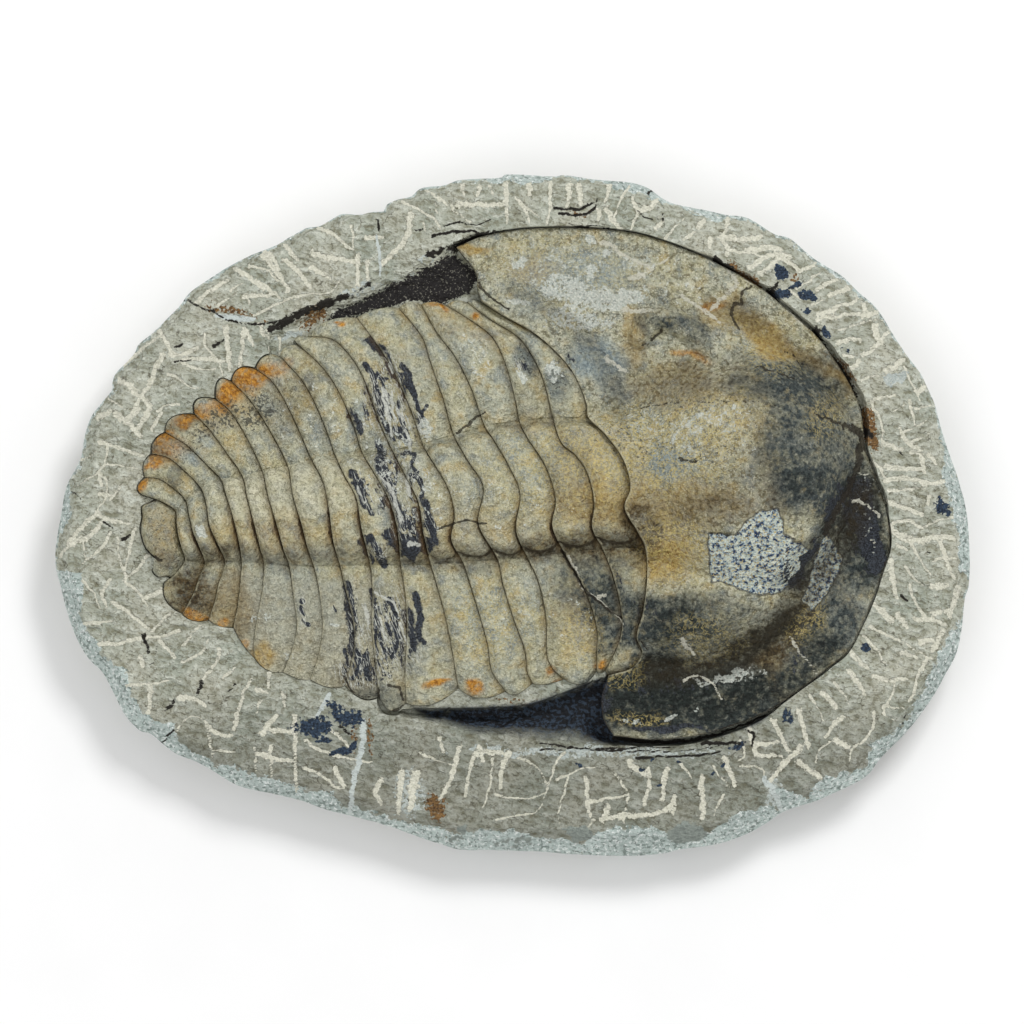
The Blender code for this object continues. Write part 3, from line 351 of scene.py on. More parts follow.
STROKES_LOWER_RIGHT = [
    (103, -71, 104.5, -77, 106.5, -84), (94, -75, 97, -81, 99.5, -86), (107, -66, 110.5, -71, 112, -75),
    (112, -65, 116.5, -70), (116, -61, 119, -65, 121, -69), (121, -57, 124, -61, 127, -65),
    (122, -50, 125, -54, 128, -56), (126, -44, 130, -48, 134, -54),
    (128.5, -41, 135, -44, 141, -47, 147, -50, 152, -53), (140, -50, 146, -52), (130, -58.5, 135, -60),
    (136, -60, 142, -59.5), (137.5, -61, 136, -67, 133.5, -72, 138, -75),
    (149, -53, 146, -59, 144.5, -64, 143, -68), (133, -69.5, 141, -70.5),
    (130.5, -71, 129.5, -77, 127.5, -81, 122, -85, 121.5, -91), (119, -73.5, 115, -77, 112.5, -80.5),
    (116, -81, 110, -86, 109, -90), (116.5, -81.5, 121, -84),
    (104, -84, 101, -87.5, 98, -90, 94, -95, 92.5, -97), (103, -90, 107, -93, 111, -95.5),
    (87, -83.5, 95, -82.5), (88, -87, 97, -87.5), (82, -91, 90, -92, 90.5, -96),
    (85, -76, 86, -81, 87.5, -86), (82, -82, 84, -87, 81, -89), (145, -38, 150, -38, 156, -40),
    (150, -36, 157, -35), (139, -37, 142, -41), (132, -35, 136, -40), (155, -42, 151.5, -50),
    (147, -46.5, 151.5, -45.5),
]
STROKES_LEFT = [
    (-149, 26, -142, 23.5, -133, 20.5), (-146, 24, -147, 18, -150, 14.5, -157, 10),
    (-156, 19.5, -150, 22.5), (-147, 18, -140, 17, -135, 16), (-147, 13.5, -146, 8, -147.5, 4, -151, -1),
    (-149, 14, -148, 10), (-149, 7, -145, 6.5), (-145, 5, -141.5, 9.5), (-149, -1, -144, -3, -138, -4),
    (-150, 0, -155, -5, -160, -11, -163, -15.5), (-160, -11, -152, -8, -148, -3),
    (-145, -7, -149, -13, -155, -18), (-155, -10, -154, -16),
    (-142.5, -9, -142, -14, -140.5, -20, -139, -24), (-136, -6, -138, -14, -140, -21),
    (-131, -15, -135, -20, -140, -24), (-139, -25, -135, -28, -131.5, -33.5), (-126, -28, -132, -30),
    (-145, -24, -148, -29, -146.5, -34), (-144, -32, -138, -36, -131, -42), (-123.5, -36.5, -130, -43),
    (-155, -24, -151, -29, -148, -35), (-154, -39.5, -144, -39), (-135, 38, -139.5, 32),
    (-130.5, 39, -134.5, 31), (-127, 36, -130, 30), (-143, 36, -139, 33, -134, 28), (-150, 35, -145, 37),
]
STROKES_UPPER_LEFT = [
    (-140, 54.5, -134, 59.5, -128.5, 64), (-127.5, 66, -125, 61.5, -123, 58),
    (-126, 57.5, -129, 52, -131, 46.5, -134, 42.5, -139.5, 32),
    (-142, 48.5, -138.5, 46.5, -136.5, 44, -133.5, 42, -131, 37.5, -135, 31),
    (-146, 42, -143, 40, -139.5, 37.5), (-143.5, 36.5, -141.5, 33), (-128, 37, -125.5, 39, -120, 39.5),
    (-124.5, 50.3, -120, 49, -117.5, 46, -114, 45.5, -110, 47),
    (-119, 54.5, -115, 52.5, -109.5, 52, -106.5, 52.5), (-123, 57, -118, 58, -113, 60),
    (-118, 56, -110, 56, -104, 55), (-111, 65, -110.5, 60, -106, 55, -104.5, 49),
    (-103.5, 67, -102.5, 60, -102, 52), (-97, 66.5, -97.5, 60, -98.5, 53.5), (-96, 66, -94, 61),
    (-91, 68.5, -90, 64.5), (-88.5, 66.5, -88, 58.5), (-84, 65, -84, 57),
    (-114, 76.5, -110, 80, -103, 84.5), (-102, 80.5, -97.5, 83.5), (-106.5, 75, -100, 79.5),
    (-97, 78.5, -92, 78.5, -85, 79.5), (-95, 76, -96, 80),
    (-93, 71.5, -87, 74.5, -80, 77.5, -75, 79, -66, 80, -62, 84), (-100, 88.5, -95, 85.5, -90, 81),
    (-92, 84, -88, 81, -84, 78), (-95, 89.5, -89, 88.5, -85, 84.5, -80.5, 80), (-89, 94.5, -87, 90),
    (-87.5, 94.5, -84, 88), (-70, 103.5, -65, 101, -60, 97, -57.5, 95.5), (-58, 104, -57, 96),
    (-53, 99.5, -47, 99.5), (-72, 94, -64, 92, -56, 91), (-56, 93, -55.5, 82), (-52.5, 91, -52, 84),
    (-82, 97, -78, 92), (-82, 91.5, -77, 87, -73, 82), (-72, 89, -66, 85), (-90, 93, -84, 86, -81, 80),
    (-37, 108, -38, 100, -43, 94, -47, 90), (-40, 113, -34, 110, -29, 107, -26, 103),
    (-31, 117, -25, 113, -19, 108, -15, 105), (-27.5, 113, -27.5, 108), (-32, 105, -31.6, 102),
    (-18, 119, -18, 115), (-12, 118.5, -12.5, 115), (-8, 118.5, -7, 115.5), (-20, 112, -3, 111.5),
]
STROKES_UPPER = [
    (13.5, 120, 13.8, 112, 12.5, 104.5), (20.5, 119, 20, 111.5), (24, 118.5, 24.5, 112),
    (31, 110, 31.2, 105.5), (35, 119, 33.5, 112.5), (42.5, 118.5, 39.5, 114, 37.5, 108, 38, 103),
    (43.5, 114, 45, 108.5, 42.5, 102.5), (46.5, 109.5, 50, 111, 52, 113.5), (34, 110, 37, 105, 40, 101.5),
    (1, 114, 5, 109, 6.5, 105), (2, 113, 6, 110, 9.5, 107), (6, 119, 6, 115), (52, 103, 54, 105.5),
    (55, 99, 59, 103.5, 62, 107), (62, 98.5, 66, 101.5), (69, 105.5, 67, 103), (71.5, 99, 71, 96),
    (78, 106.7, 77, 101.7),
]
STROKES_UPPER_RIGHT = [
    (75.1, 100.3, 80.1, 99.5, 85.1, 99.2, 90, 100.1), (76, 99.2, 77.6, 96.1, 77.7, 93.3),
    (78.2, 95.1, 82.6, 94.5, 87, 94.2, 89.5, 93.3), (85, 95.5, 89.5, 95.6, 92.6, 96.1, 97, 95.5),
    (90, 97, 93.5, 97, 97, 96), (86, 88.9, 90.1, 92, 93.8, 93.6, 96.9, 93.6, 100.7, 93),
    (89.5, 86.4, 92.6, 88.9, 96, 92.3),
    (96.9, 92.3, 100, 91.1, 103.2, 88.6, 104.7, 87.9, 107.5, 89.2, 109.4, 90.5),
    (102.5, 81, 106.9, 84.2, 111, 87), (110, 81.1, 113.1, 83, 116.9, 84.6),
    (114.7, 78.8, 118.1, 80.2, 121.2, 81.8), (100, 80.5, 103.8, 77.1), (108.1, 75.2, 111.9, 77.1),
    (110, 71.8, 115, 73, 118.1, 75.2, 121.9, 75.5, 125, 78.3),
    (110, 69.6, 113.1, 70.8, 116.9, 71.1, 121.2, 71.8, 125.6, 72.4), (126.5, 76.1, 127.2, 73, 126.2, 71),
    (128.1, 71.8, 131.8, 73), (117.8, 66.5, 121.9, 67.4, 126.9, 69.3, 134.3, 70.2),
    (117.5, 61.8, 121.2, 62.7, 125.6, 62.4), (119.4, 57.1, 123.1, 56.8),
    (121.9, 52.1, 123.8, 53.7, 125.3, 54.9),
    (126.2, 56.8, 129.3, 58.7, 131.9, 61.2, 133.7, 63.7, 135.6, 65.9),
    (130.9, 67.7, 131.2, 64.3, 133.4, 61.2), (125.9, 47.8, 129.3, 49.3, 135, 50),
    (134.3, 51.8, 138.1, 53.4, 141.2, 56.2), (141.2, 53.1, 143.4, 48.7, 145.6, 44.4, 146.8, 40.9),
    (146.2, 44.3, 148.7, 46.5), (130.6, 41.5, 134.3, 41.8, 138.1, 43.1), (137.5, 36.9, 141.2, 39.4),
    (143.1, 40.6, 144.4, 36.3, 145.3, 32.5), (145.6, 37.5, 148.7, 38.7, 151.2, 39.1),
]
STROKES_RIGHT = [
    (129.4, 40.7, 130.3, 37.3, 132.5, 34.2, 133.4, 30.5, 133.1, 25.5, 132.5, 21.1),
    (129.7, 18, 132.8, 16.1, 134.3, 13), (134.3, 25.2, 137.5, 23.9, 140.6, 23),
    (134.3, 16.7, 138.7, 16.1, 143.1, 15.8, 148.1, 16.1),
    (134.3, 11.8, 138.1, 12.4, 143.1, 12.4, 147.4, 11.4), (148, 10.5, 153, 10.8, 155.5, 11.8),
    (135.6, 8.3, 139.3, 8.6, 144.3, 8.6, 148.7, 9), (133.4, 4.6, 138.1, 3, 143.1, 1.5, 147.7, -0.4),
    (135.6, -4.8, 138.7, -3.2, 143.7, -2.9, 146.2, -5.1, 150.6, -3.8, 154.9, -2.3, 158.7, -1.6),
    (136.2, -5.7, 139.3, -7.9, 143.1, -9.4, 148.1, -9.8, 153, -8.5, 158.7, -9.1),
    (143.1, -10.1, 144.9, -13.2, 147.4, -17.5, 150.6, -22.5),
    (154, -10.4, 155.5, -13.8, 156.8, -18.8, 159.3, -23.8), (151.8, -17.2, 155.5, -16, 159.9, -16),
    (141.2, -18.8, 143.1, -21.9, 146.2, -24.7, 149.3, -26.6), (136.2, -17.5, 137.5, -25, 138.4, -30),
    (143.1, -25.6, 144.3, -30, 146.8, -34.4, 149.9, -38.1), (151.5, -26.6, 156.8, -26),
    (160.5, -26.9, 159.3, -31.9, 157.7, -37.2), (144.9, -38.4, 148.7, -38.1, 152.4, -36.9, 156.2, -35.6),
    (130, -33.1, 133.7, -35.6, 136.8, -38.7), (138.7, -11.6, 141.8, -13.1),
    (141.2, 29.2, 145.6, 31.4, 149.3, 33.3), (143.1, 25.2, 146.2, 27, 149.9, 28.9),
    (140, 29.8, 141.2, 26.7, 143.7, 24.2, 146.8, 23.3), (146.8, 21.7, 148.1, 18.6, 148.4, 14.9),
    (143.7, 22, 149.3, 21.7), (149.9, 6.1, 149.6, 3), (150.6, 21.1, 152.4, 18),
]
STROKE_GROUPS = (
    STROKES_LOWER_LEFT, STROKES_LOWER, STROKES_LOWER_RIGHT, STROKES_LEFT, STROKES_UPPER_LEFT,
    STROKES_UPPER, STROKES_UPPER_RIGHT, STROKES_RIGHT,
)
STROKE_HALF_WIDTH = 0.78
WIDE_STROKES = [(-2.5, 119, -2, 105), (-40, -93, -41, -108), (-35, -94, -37, -107)]
WIDE_HALF_WIDTH = 1.6

# Short cracks in the rock, then the wider gaps between rock and fossil, painted black as shadow, then pale
# veins
ROCK_CRACKS = [
    (-128, -48, -128.5, -52, -131.5, -55.5), (-111.5, -61, -113.5, -65.5), (-121.5, -67, -125, -71.5),
    (-122, -78, -126.5, -82.5), (-159.5, 8.5, -155.5, 5), (-148, -3, -144, -5.5), (-141, -9.5, -137.5, -8),
    (-48.5, 106, -48, 102),
    (-118, 78, -112, 74, -108, 73, -104, 70.5, -99, 69, -95, 68.3, -88, 69, -80, 70.5),
    (17, 108, 22, 107.8, 27, 108.5, 30, 111, 30.5, 114), (15, 110.5, 25, 110, 29, 112.5),
    (54, 105.5, 55, 111), (49, 116, 50.5, 117.5), (28, 119.5, 30, 117.5), (45, 109.5, 47.5, 107, 50.5, 106),
    (-122, 60, -119, 61.5, -116.5, 62.5), (-108, 60.5, -104, 63), (-122, 54.5, -116, 55.5),
    (-120, 78, -117.5, 76.5), (-35, 102.5, -32.5, 103), (-29, 100, -22, 101.5, -15, 102, -10, 100.5),
    (-25, 104, -18, 105, -13, 104, -8, 106), (139.3, 22.7, 142.4, 19.2), (148.5, -13.8, 151, -14.7),
    (140, -29.1, 142.4, -31.6), (142, -72, 139.5, -79), (10, -85, 18, -85), (20, -84.5, 25, -84.5),
    (44, -88, 58, -87.5, 70, -87, 75, -85.5), (68, -83, 82, -83),
    (20, 104.8, 24, 103.6, 29, 103.7, 35, 103.2),
    (10, -82.5, 24, -84.5, 40, -85.5, 56, -85.6, 70, -84.8, 82, -82), (30, -84.6, 44, -84.4, 60, -84.2),
    (84, -78, 87, -80, 86, -84), (-133, -44, -131, -50), (-100, -62, -104, -66), (-62, -77, -58, -80),
]
ROCK_GAP_SHADOWS = [
    (-58, 78.5, -54, 81, -50, 83.5, -45, 85, -41, 87.5, -39, 89, -32, 89.5),
    (-87.4, 66.3, -82.2, 69.2, -76.3, 72.5, -69.9, 75.1, -59.9, 78),
    (-30, 93.5, -20, 96.5, -16, 98.5, -10, 100.5, -3, 101.8),
    (73.2, 91.7, 78.2, 88, 84.5, 83.6, 89.5, 80.5, 91.3, 79.9, 93.2, 78.6, 95.7, 76.7), (93, 80, 95, 82),
    (109.4, 65.5, 111.3, 61.8, 113.2, 58, 116.3, 54.9, 118.8, 51.8, 121.3, 48.1, 124.5, 38, 125.5, 33, 127,
        30, 129, 28),
    (37, -80.5, 50, -82, 66, -81, 79, -77.5, 92, -72.3),
]
ROCK_VEINS = [
    (-54, -75, -53.5, -80, -55, -88, -57, -96, -58.5, -108), (90.5, -96, 94, -100, 97, -107),
    (-106, 71.5, -101, 70.5, -93, 70), (-49, 100, -48, 93, -47.5, 86), (-65.5, -65, -71, -74.5),
]
# Soft stains on the rock: x, y, half-length, half-width, turn in degrees, strength
ROCK_STAINS = {
    "navy": [
        (97, 79, 3.5, 2.2, 0, 1), (102, 83, 2.5, 1.5, 30, 0.9), (106, 78, 3.5, 2, -15, 0.9),
        (106.7, 72.5, 2, 1.2, 0, 0.9), (113.7, 65.5, 3, 1.5, 110, 0.9), (119.3, 59, 2, 1.5, 120, 0.5),
        (154.7, 2.5, 2.6, 2.6, 0, 0.8), (99, -73, 3, 3, 0, 0.8), (126, -48, 2, 2, 0, 0.9),
        (81, -84, 2, 1.2, 0, 0.8), (25, -91, 1.6, 1.2, 0, 0.8), (-71.5, -77, 8, 3, 0, 0.85),
        (97.5, 87, 2, 1.6, 0, 1), (-68, -81.5, 3, 1, 0, 1), (-58, -85, 3, 1.4, 40, 0.9),
        (-62, -86, 4, 1, 0, 0.9), (51, -89, 1.2, 0.8, 0, 1), (61, -89, 1.2, 0.8, 0, 1),
        (47, -92, 1.2, 0.8, 0, 1), (52, -98, 1, 0.8, 0, 0.9), (71, -93, 1.2, 0.8, 0, 1),
        (75, -91, 1.2, 0.8, 0, 1), (-62, -72, 6, 3, -30, 0.7), (-56, -74, 3, 4, 0, 0.7),
    ],
    "rust": [
        (-100, 72.5, 11, 1.6, -14, 0.6), (-71, 71.5, 6, 3, 25, 0.7), (101.5, 85.5, 2, 1.6, 0, 0.6),
        (129, 31, 3, 9, 5, 0.75), (-27, -106, 3.5, 4.5, 20, 0.8), (24, 109, 6, 1.2, 0, 0.5),
        (-51, -80, 1.6, 8, 0, 0.5), (-57, -80, 1.6, 8, 0, 0.5), (84, 85, 9, 2.4, -35, 0.8),
        (30, -62.5, 5, 2, 30, 0.4), (2, -67.5, 9, 1.6, 0, 0.4), (119, 52, 1.6, 7, 40, 0.6),
    ],
    "pale": [
        (136, 47.5, 2.5, 2.5, 0, 0.8), (140, 48.5, 2.5, 2.5, 0, 0.8), (-80, 65.5, 7, 1.6, 20, 0.8),
        (-56, 80, 9, 2, 27, 0.6), (-35, 89.5, 10, 1.8, 30, 0.6), (-37, -101, 7, 9, 0, 0.55),
        (30, -86, 48, 2.4, 0, 0.6), (93.5, -101, 3, 6, -25, 0.6),
    ],
}
# How far in from the slab's edge the pale filler reaches, by angle from +X
FILLER_BY_ANGLE = [
    (0, 5.8), (5, 5), (8, 2), (13, 0), (28, 0.3), (34, 1.2), (37, 1.8), (40, 0.8), (50, 0.8), (54, 2.5),
    (56, 3.5), (60, 1.5), (63, 0.8), (66, 3), (69, 4.5), (72, 3.5), (75, 0.8), (83, 0.5), (85, 2.5),
    (88, 4), (94, 1.6), (98, 0.6), (120, 0.4), (138, 0.8), (150, 0.2), (157, 1), (170, 0.5), (176, 1),
    (180, 4), (183, 1), (187, 1), (188, 9), (191, 8), (193, 4), (198, 6), (201, 5), (202, 9), (204, 6),
    (211, 6), (212, 9), (214, 5), (217, 3.5), (220, 1.5), (222, 5.5), (226, 6), (230, 5.5), (233, 4),
    (237, 6.5), (240, 3.5), (246, 3), (253, 4), (260, 6), (265, 9), (268, 7), (270, 8.5), (273, 6),
    (280, 5), (282, 3), (284, 7), (287, 10), (294, 10), (297, 4), (299, 3), (304, 6), (306, 8), (311, 5),
    (312, 1), (313, 8), (314, 10), (316, 2), (319, 7), (322, 5.5), (325, 2.5), (327, 6), (331, 3), (336, 4),
    (342, 6), (345, 4), (347, 0.3), (352, 0.3), (353, 4), (355, 5), (357, 4),
]
CEMENT = [(24, -115.5, 5, 3.5, 0, 0.9), (62, -115, 7, 4, 5, 0.9), (-20, -116, 6, 3, 0, 0.6),
(0, -118, 9, 3, 0, 0.5)]

# Soft stains on the plates, in the same form
SHELL_STAINS = {
    "ochre": [
        (24, 14, 9, 20, 0, 0.25), (36, 16, 12, 14, 0, 0.25), (50, 3, 32, 8, 0, 0.5),
        (60, 45, 14, 6, 0, 0.3), (55, -16, 11, 9, 0, 0.85), (91, 63, 10, 5, -35, 0.95),
        (105, 54, 9, 3, -38, 0.6), (117, 48, 7, 2.4, -40, 0.8), (44, 63, 4, 9, 0, 0.5),
        (75, 73, 9, 6, -30, 0.5), (8, 88, 8, 4, 0, 0.6), (-13, 95.5, 6, 2, 0, 0.8),
        (-90, -8, 24, 7, 0, 0.3), (-15, -6, 26, 8, 0, 0.2), (-104, 36, 14, 6, 40, 0.3),
        (118, -30, 5, 8, 20, 0.35), (-103, -33, 12, 8, -20, 0.5), (-88, -51, 4.5, 4.5, 0, 0.8),
        (-20, 68, 20, 4, -20, 0.25), (5, 32, 10, 5, 0, 0.3), (25, -38, 7, 12, 0, 0.3),
        (-127, -6, 6, 9, 0, 0.4), (104, -41, 4, 6, -35, 0.5), (92, -57, 3.5, 8, 25, 0.5),
        (43, -75.5, 8, 2, 0, 0.6), (44, -75.5, 7, 3, 0, 0.5), (112, 38, 7, 3.5, 0, 0.4),
        (30, 0, 20, 6, 0, 0.3), (78, 30, 14, 10, 0, 0.15),
    ],
    "umber": [
        (52, 12, 12, 8, 0, 0.2), (92, 16, 6, 10, 0, 0.45), (95, 5, 6, 6, 0, 0.55), (77, 1.5, 7, 7, 0, 0.35),
        (67, -2, 9, 8, 0, 0.3), (70, 47, 12, 9, 0, 0.3), (105, 55, 8, 4, -35, 0.3),
        (115, 54, 5, 4, -40, 0.5), (118, 14, 5, 6, 0, 0.3), (86, -50, 11, 7, 25, 0.9),
        (99, -44, 11, 8, 35, 0.9), (105, -37, 7, 8, -30, 0.8), (93, -59, 4, 9, 25, 0.7),
        (82, -57, 8, 5, 15, 0.7), (96, -66, 6, 4, 35, 0.5), (52, -68, 20, 8, 3, 0.3),
        (36, -12, 14, 6, 0, 0.6), (45, -6, 7, 6, 0, 0.7), (15, -14, 16, 5, 0, 0.5),
        # The first spot on the next line, at -35, -16, is painted shadow along the axis's lower furrow
        (-35, -16, 85, 4.5, 0, 0.4), (-116, -27, 8, 9, -30, 0.9), (-102, -30, 8, 8, 0, 0.3),
        (-80, 40, 9, 13, -30, 0.35), (-108, -15, 9, 5, 0, 0.45), (-100, -42, 8, 4, 25, 0.45),
        (-118.5, 32.5, 5, 3, 30, 0.85), (-126, 24, 5, 6, 0, 0.6), (5, 40, 8, 8, 0, 0.15),
        (-125, -15, 5, 4, 0, 0.4), (80, 8, 16, 8, 0, 0.2), (-57, -60, 8, 8, 0, 0.45),
        (40, -37, 8, 8, 0, 0.3), (50, 0, 30, 6, 0, 0.3), (84, 70, 8, 4, -38, 0.35), (44, 47, 9, 12, 0, 0.3),
        (85, 46, 8, 8, 0, 0.45), (60, 45, 14, 7, 0, 0.25), (75, 15, 12, 8, 0, 0.15),
    ],
    "slate": [
        (106, 27, 18, 22, 0, 0.8), (60, -38, 10, 7, 0, 0.6), (118, -31, 6, 9, 25, 0.5),
        (20, 14, 9, 13, 0, 0.24), (105, 9, 10, 10, 0, 0.9), (115, 3, 8, 8, 0, 0.9),
        (124, 22, 4, 10, 0, 0.25), (98, 46, 9, 7, -20, 0.6), (86, 45, 8, 6, 0, 0.45),
        (127, -4, 8, 22, 5, 1), (123, -20, 6, 9, 10, 0.75), (105, -22, 5, 8, 0, 0.8),
        (114, -42, 12, 9, 45, 0.85), (102, -56, 12, 6, 38, 0.75), (74, -37, 14, 6, 8, 0.62),
        (70, -46, 12, 5, 10, 0.5), (48, -38, 8, 9, 0, 0.8), (34, -32, 10, 13, 0, 0.8),
        (24, -24, 10, 8, 0, 0.6), (16, -35, 8, 9, 0, 0.2), (36, -46, 7, 5, 0, 0.7), (46, -46, 7, 5, 0, 0.6),
        (56, -44, 7, 6, 0, 0.7), (58, -57, 16, 7, -3, 1), (50, -67, 24, 9, 3, 1), (35, -68, 7, 11, 0, 0.95),
        (72, -56, 10, 5, 8, 0.95), (84, -66, 8, 5, 12, 0.8), (75, -75, 14, 5, 10, 1),
        (54, -77, 18, 5, 3, 0.85), (90, -72, 7, 4, 25, 0.7), (-119.5, 13, 3, 3, 0, 0.5),
        (48, 66, 3, 5, 0, 0.6), (57, 70, 8, 2.6, 0, 0.65), (67, 65, 6, 3.5, -40, 0.55),
        (24, 58, 6, 6, 30, 0.2), (38, 47, 4, 8, 20, 0.12), (98, 49, 20, 5, -22, 0.7),
        (5, 56, 4, 7, 25, 0.5), (18, 47, 4, 8, 20, 0.45), (-48, -66, 9, 4, 0, 0.6),
        (-45, 38, 8, 22, -14, 0.22), (-46, -42, 10, 18, 5, 0.15), (-40, 0, 7, 14, -8, 0.2),
        (112, -4, 8, 6, 0, 0.6), (60, 72, 14, 5, -20, 0.25),
    ],
    "blue": [
        (18, 47, 4, 7, 20, 0.5), (4, 56, 3.5, 6, 20, 0.5), (30, 55, 9, 8, -30, 0.8),
        (38, 46, 4, 8, 20, 0.5), (-56, 33, 4, 9, -15, 0.6), (55, 17, 7, 5, 0, 0.8),
        (119, -33, 6, 10, 25, 0.4), (20, 88, 22, 8, 0, 0.35), (-8, 14, 16, 8, 0, 0.1),
        (-109, 25.5, 4, 3.5, 0, 0.5), (-114, 19, 4, 3, 0, 0.5), (5, 78, 14, 8, 0, 0.3),
        (30, 84, 20, 9, 0, 0.3), (-80, -30, 22, 14, 0, 0.2), (125, -20, 5, 14, 10, 0.3),
        (-30, 55, 10, 8, 0, 0.2), (77, -63, 9, 3, 12, 0.5),
    ],
    "gold": [
        (50, 22, 30, 16, 0, 0.8), (58, -14, 12, 12, 0, 1), (20, 12, 20, 20, 0, 0.45),
        (0, 15, 20, 18, 0, 0.3), (72, 34, 16, 8, 0, 0.6), (-8, -40, 16, 16, 0, 0.6),
        (25, -45, 8, 9, 0, 0.6), (70, -45, 14, 8, 0, 0.5), (42, -60, 8, 3, 20, 0.7),
        (46, -75, 10, 3, 0, 0.8), (106, -38, 6, 10, -35, 0.7), (20, 88, 30, 12, -8, 0.4),
        (90, 60, 14, 8, -35, 0.6), (112, 34, 8, 8, 0, 0.6),
    ],
    "chalk": [
        (2, 76.5, 6, 2.5, 0, 0.8), (27, 77, 8, 5, 0, 0.62), (41, 76.5, 9, 3.4, 0, 0.75),
        (35, 93, 2, 2, 0, 0.8), (29, 88, 2, 1.5, 0, 0.7), (5, 92.5, 3, 1.5, 0, 0.7),
        (28, 97.5, 2.5, 2, 0, 0.8), (18, 76, 7, 8, 0, 0.35), (28, 69, 9, 3, 0, 0.4),
        (84, 35.5, 6, 2, 0, 0.35), (79, 14, 2.4, 3, 0, 0.35), (85, 21, 6, 2, 10, 0.3),
        (59, -74.5, 4, 1.5, 0, 0.35), (79, -60, 9, 2.4, 15, 0.4), (69, -61, 6, 1.6, -20, 0.6),
        (-113.5, -6, 2.4, 2.2, 0, 0.9), (-42, 30, 10, 34, -14, 0.14), (-45, -40, 10, 22, 5, 0.3),
        (60, 84, 24, 10, -20, 0.38), (62, 30, 26, 9, 0, 0.46), (22, 68, 13, 5, -10, 0.5),
        (24, 81, 6, 3.5, -30, 0.8), (36, 79, 9, 3, -15, 0.72), (14, 81, 5, 5, 0, 0.45),
        (16, 51, 4.5, 8, 12, 0.62), (3, 49, 3, 3, 0, 0.6), (43, -75.5, 7, 1.6, 0, 0.55),
        (59, -73.5, 4, 1.3, 15, 0.6), (68, -71, 1.6, 1.6, 0, 0.6), (80, -60, 10, 3, 0, 0.5),
        (15, 90, 26, 9, 0, 0.38), (-12, 56, 8, 12, 20, 0.4), (-32, 31, 4, 4, 0, 0.6),
        (-64, -39.5, 1.3, 1.3, 0, 0.9), (-91, -39, 5, 2.5, 0, 0.5), (-80, -52, 5, 3, 0, 0.4),
        (129, 0, 5, 18, 0, 0.34), (-60, 30, 40, 20, -30, 0.33), (-10, 0, 40, 14, 0, 0.33),
        (10, -40, 30, 14, 0, 0.33),
    ],
    "rust": [
        (-93, 48.5, 7.5, 5, 35, 1), (-104, 43.5, 6.5, 5, 20, 1), (-113, 37, 4, 3, 40, 0.6),
        (-84, 55, 5, 2.5, 35, 0.4), (-98, 50, 5, 3, 30, 0.7), (-126, 26, 4.5, 2.6, 10, 0.85),
        (-129.5, 18.5, 3.5, 2.2, 0, 0.85), (-133, 9.5, 2.4, 2.4, 0, 0.9), (-118, 33, 5, 2.6, 25, 0.7),
        (-122, 22, 6, 5, 0, 0.35), (64.5, 56.3, 6, 2, 0, 0.6), (73, 74.5, 4, 2.5, 0, 0.7),
        (33, -53, 2, 2, 0, 0.8), (15.5, -57, 2, 2, 0, 0.8), (-28, -61.5, 5, 1.5, 0, 0.9),
        (-14.5, -64, 2.5, 3, 0, 0.9), (18, -61.5, 2, 1.5, 0, 0.9), (-29, 73.5, 3.5, 1.2, 0, 0.9),
        (-13, 70.5, 2, 1.5, 0, 0.8), (-63, 68, 2, 1.5, 0, 0.8), (-115, -36.5, 4, 2, -25, 0.8),
        (-106.5, -38.5, 2.5, 2, 0, 0.8), (-96, -46, 2.5, 2, 0, 0.5),
    ],
    "night": [
        (-46, 44, 7, 13, -15, 0.5), (-37, 34, 6, 8, -10, 0.4), (-44, 14, 6, 13, -12, 0.47),
        (-34, 9, 4, 9, -8, 0.38), (-41, -1, 5, 6, 0, 0.42), (-36, -6, 8, 4, -15, 0.56),
        (-48, -14, 4, 5, 0, 0.3), (-54, 5, 2.5, 8, 20, 0.36), (-57, -40, 4, 14, 5, 0.34),
        (-48, -42, 5, 15, 5, 0.38), (-40, -42, 6, 14, 5, 0.36), (-57, -57, 7, 6, 0, 0.5),
        (-46, -58, 5, 7, 0, 0.34), (-75, -32, 1.4, 1.5, 0, 1), (-75.5, -36.5, 1.4, 2, 0, 0.9),
        (-74, -40.5, 1, 1.6, 30, 0.8), (-65, -33, 1, 1.6, 0, 0.6), (128, -4, 5, 18, 3, 0.85),
        (123, 5, 4, 9, 0, 0.5), (131, -12, 3.5, 9, 0, 0.5), (3, 54, 3, 2.5, 0, 0.6),
        (33, -66, 4, 8, 0, 0.7), (60, -62, 22, 5, 3, 0.4), (94, -38, 9, 4, 35, 0.2),
        (58, -79, 18, 2, 3, 0.7), (110, 2, 9, 8, 0, 0.34), (126, -24, 2, 8, 15, 0.2),
        (100, -24, 3, 8, 40, 0.5), (105.5, -19, 1.5, 8, -25, 0.8), (46, -34, 5, 6, 0, 0.4),
        (36, -26, 8, 8, 0, 0.3), (24, 58, 4, 3, 40, 0.4), (52, 68, 5, 2, 20, 0.34),
        (103, -52, 6, 4, 30, 0.4), (116, 0, 3, 8, -20, 0.6),
    ],
    "dusk": [
        (52, -68, 26, 11, 3, 0.9), (80, -67, 13, 9, 12, 0.9), (60, -57, 14, 5, 0, 0.8),
        (86, -47, 13, 5, 28, 1), (98, -38, 8, 5, 45, 0.9), (60, -38, 10, 8, 0, 0.7),
        (129, -6, 7, 20, 3, 0.85), (111, -50, 7, 6, 45, 0.7), (104, 11, 8, 5, 0, 0.5),
        (100, -61, 10, 6, 35, 0.65), (47, -36, 5, 9, 0, 0.3), (112, -10, 5, 8, -30, 0.8),
        (34, -32, 6, 10, 0, 0.35), (78, -55, 12, 3.5, 14, 0.5), (118, 3, 4, 9, -25, 0.6),
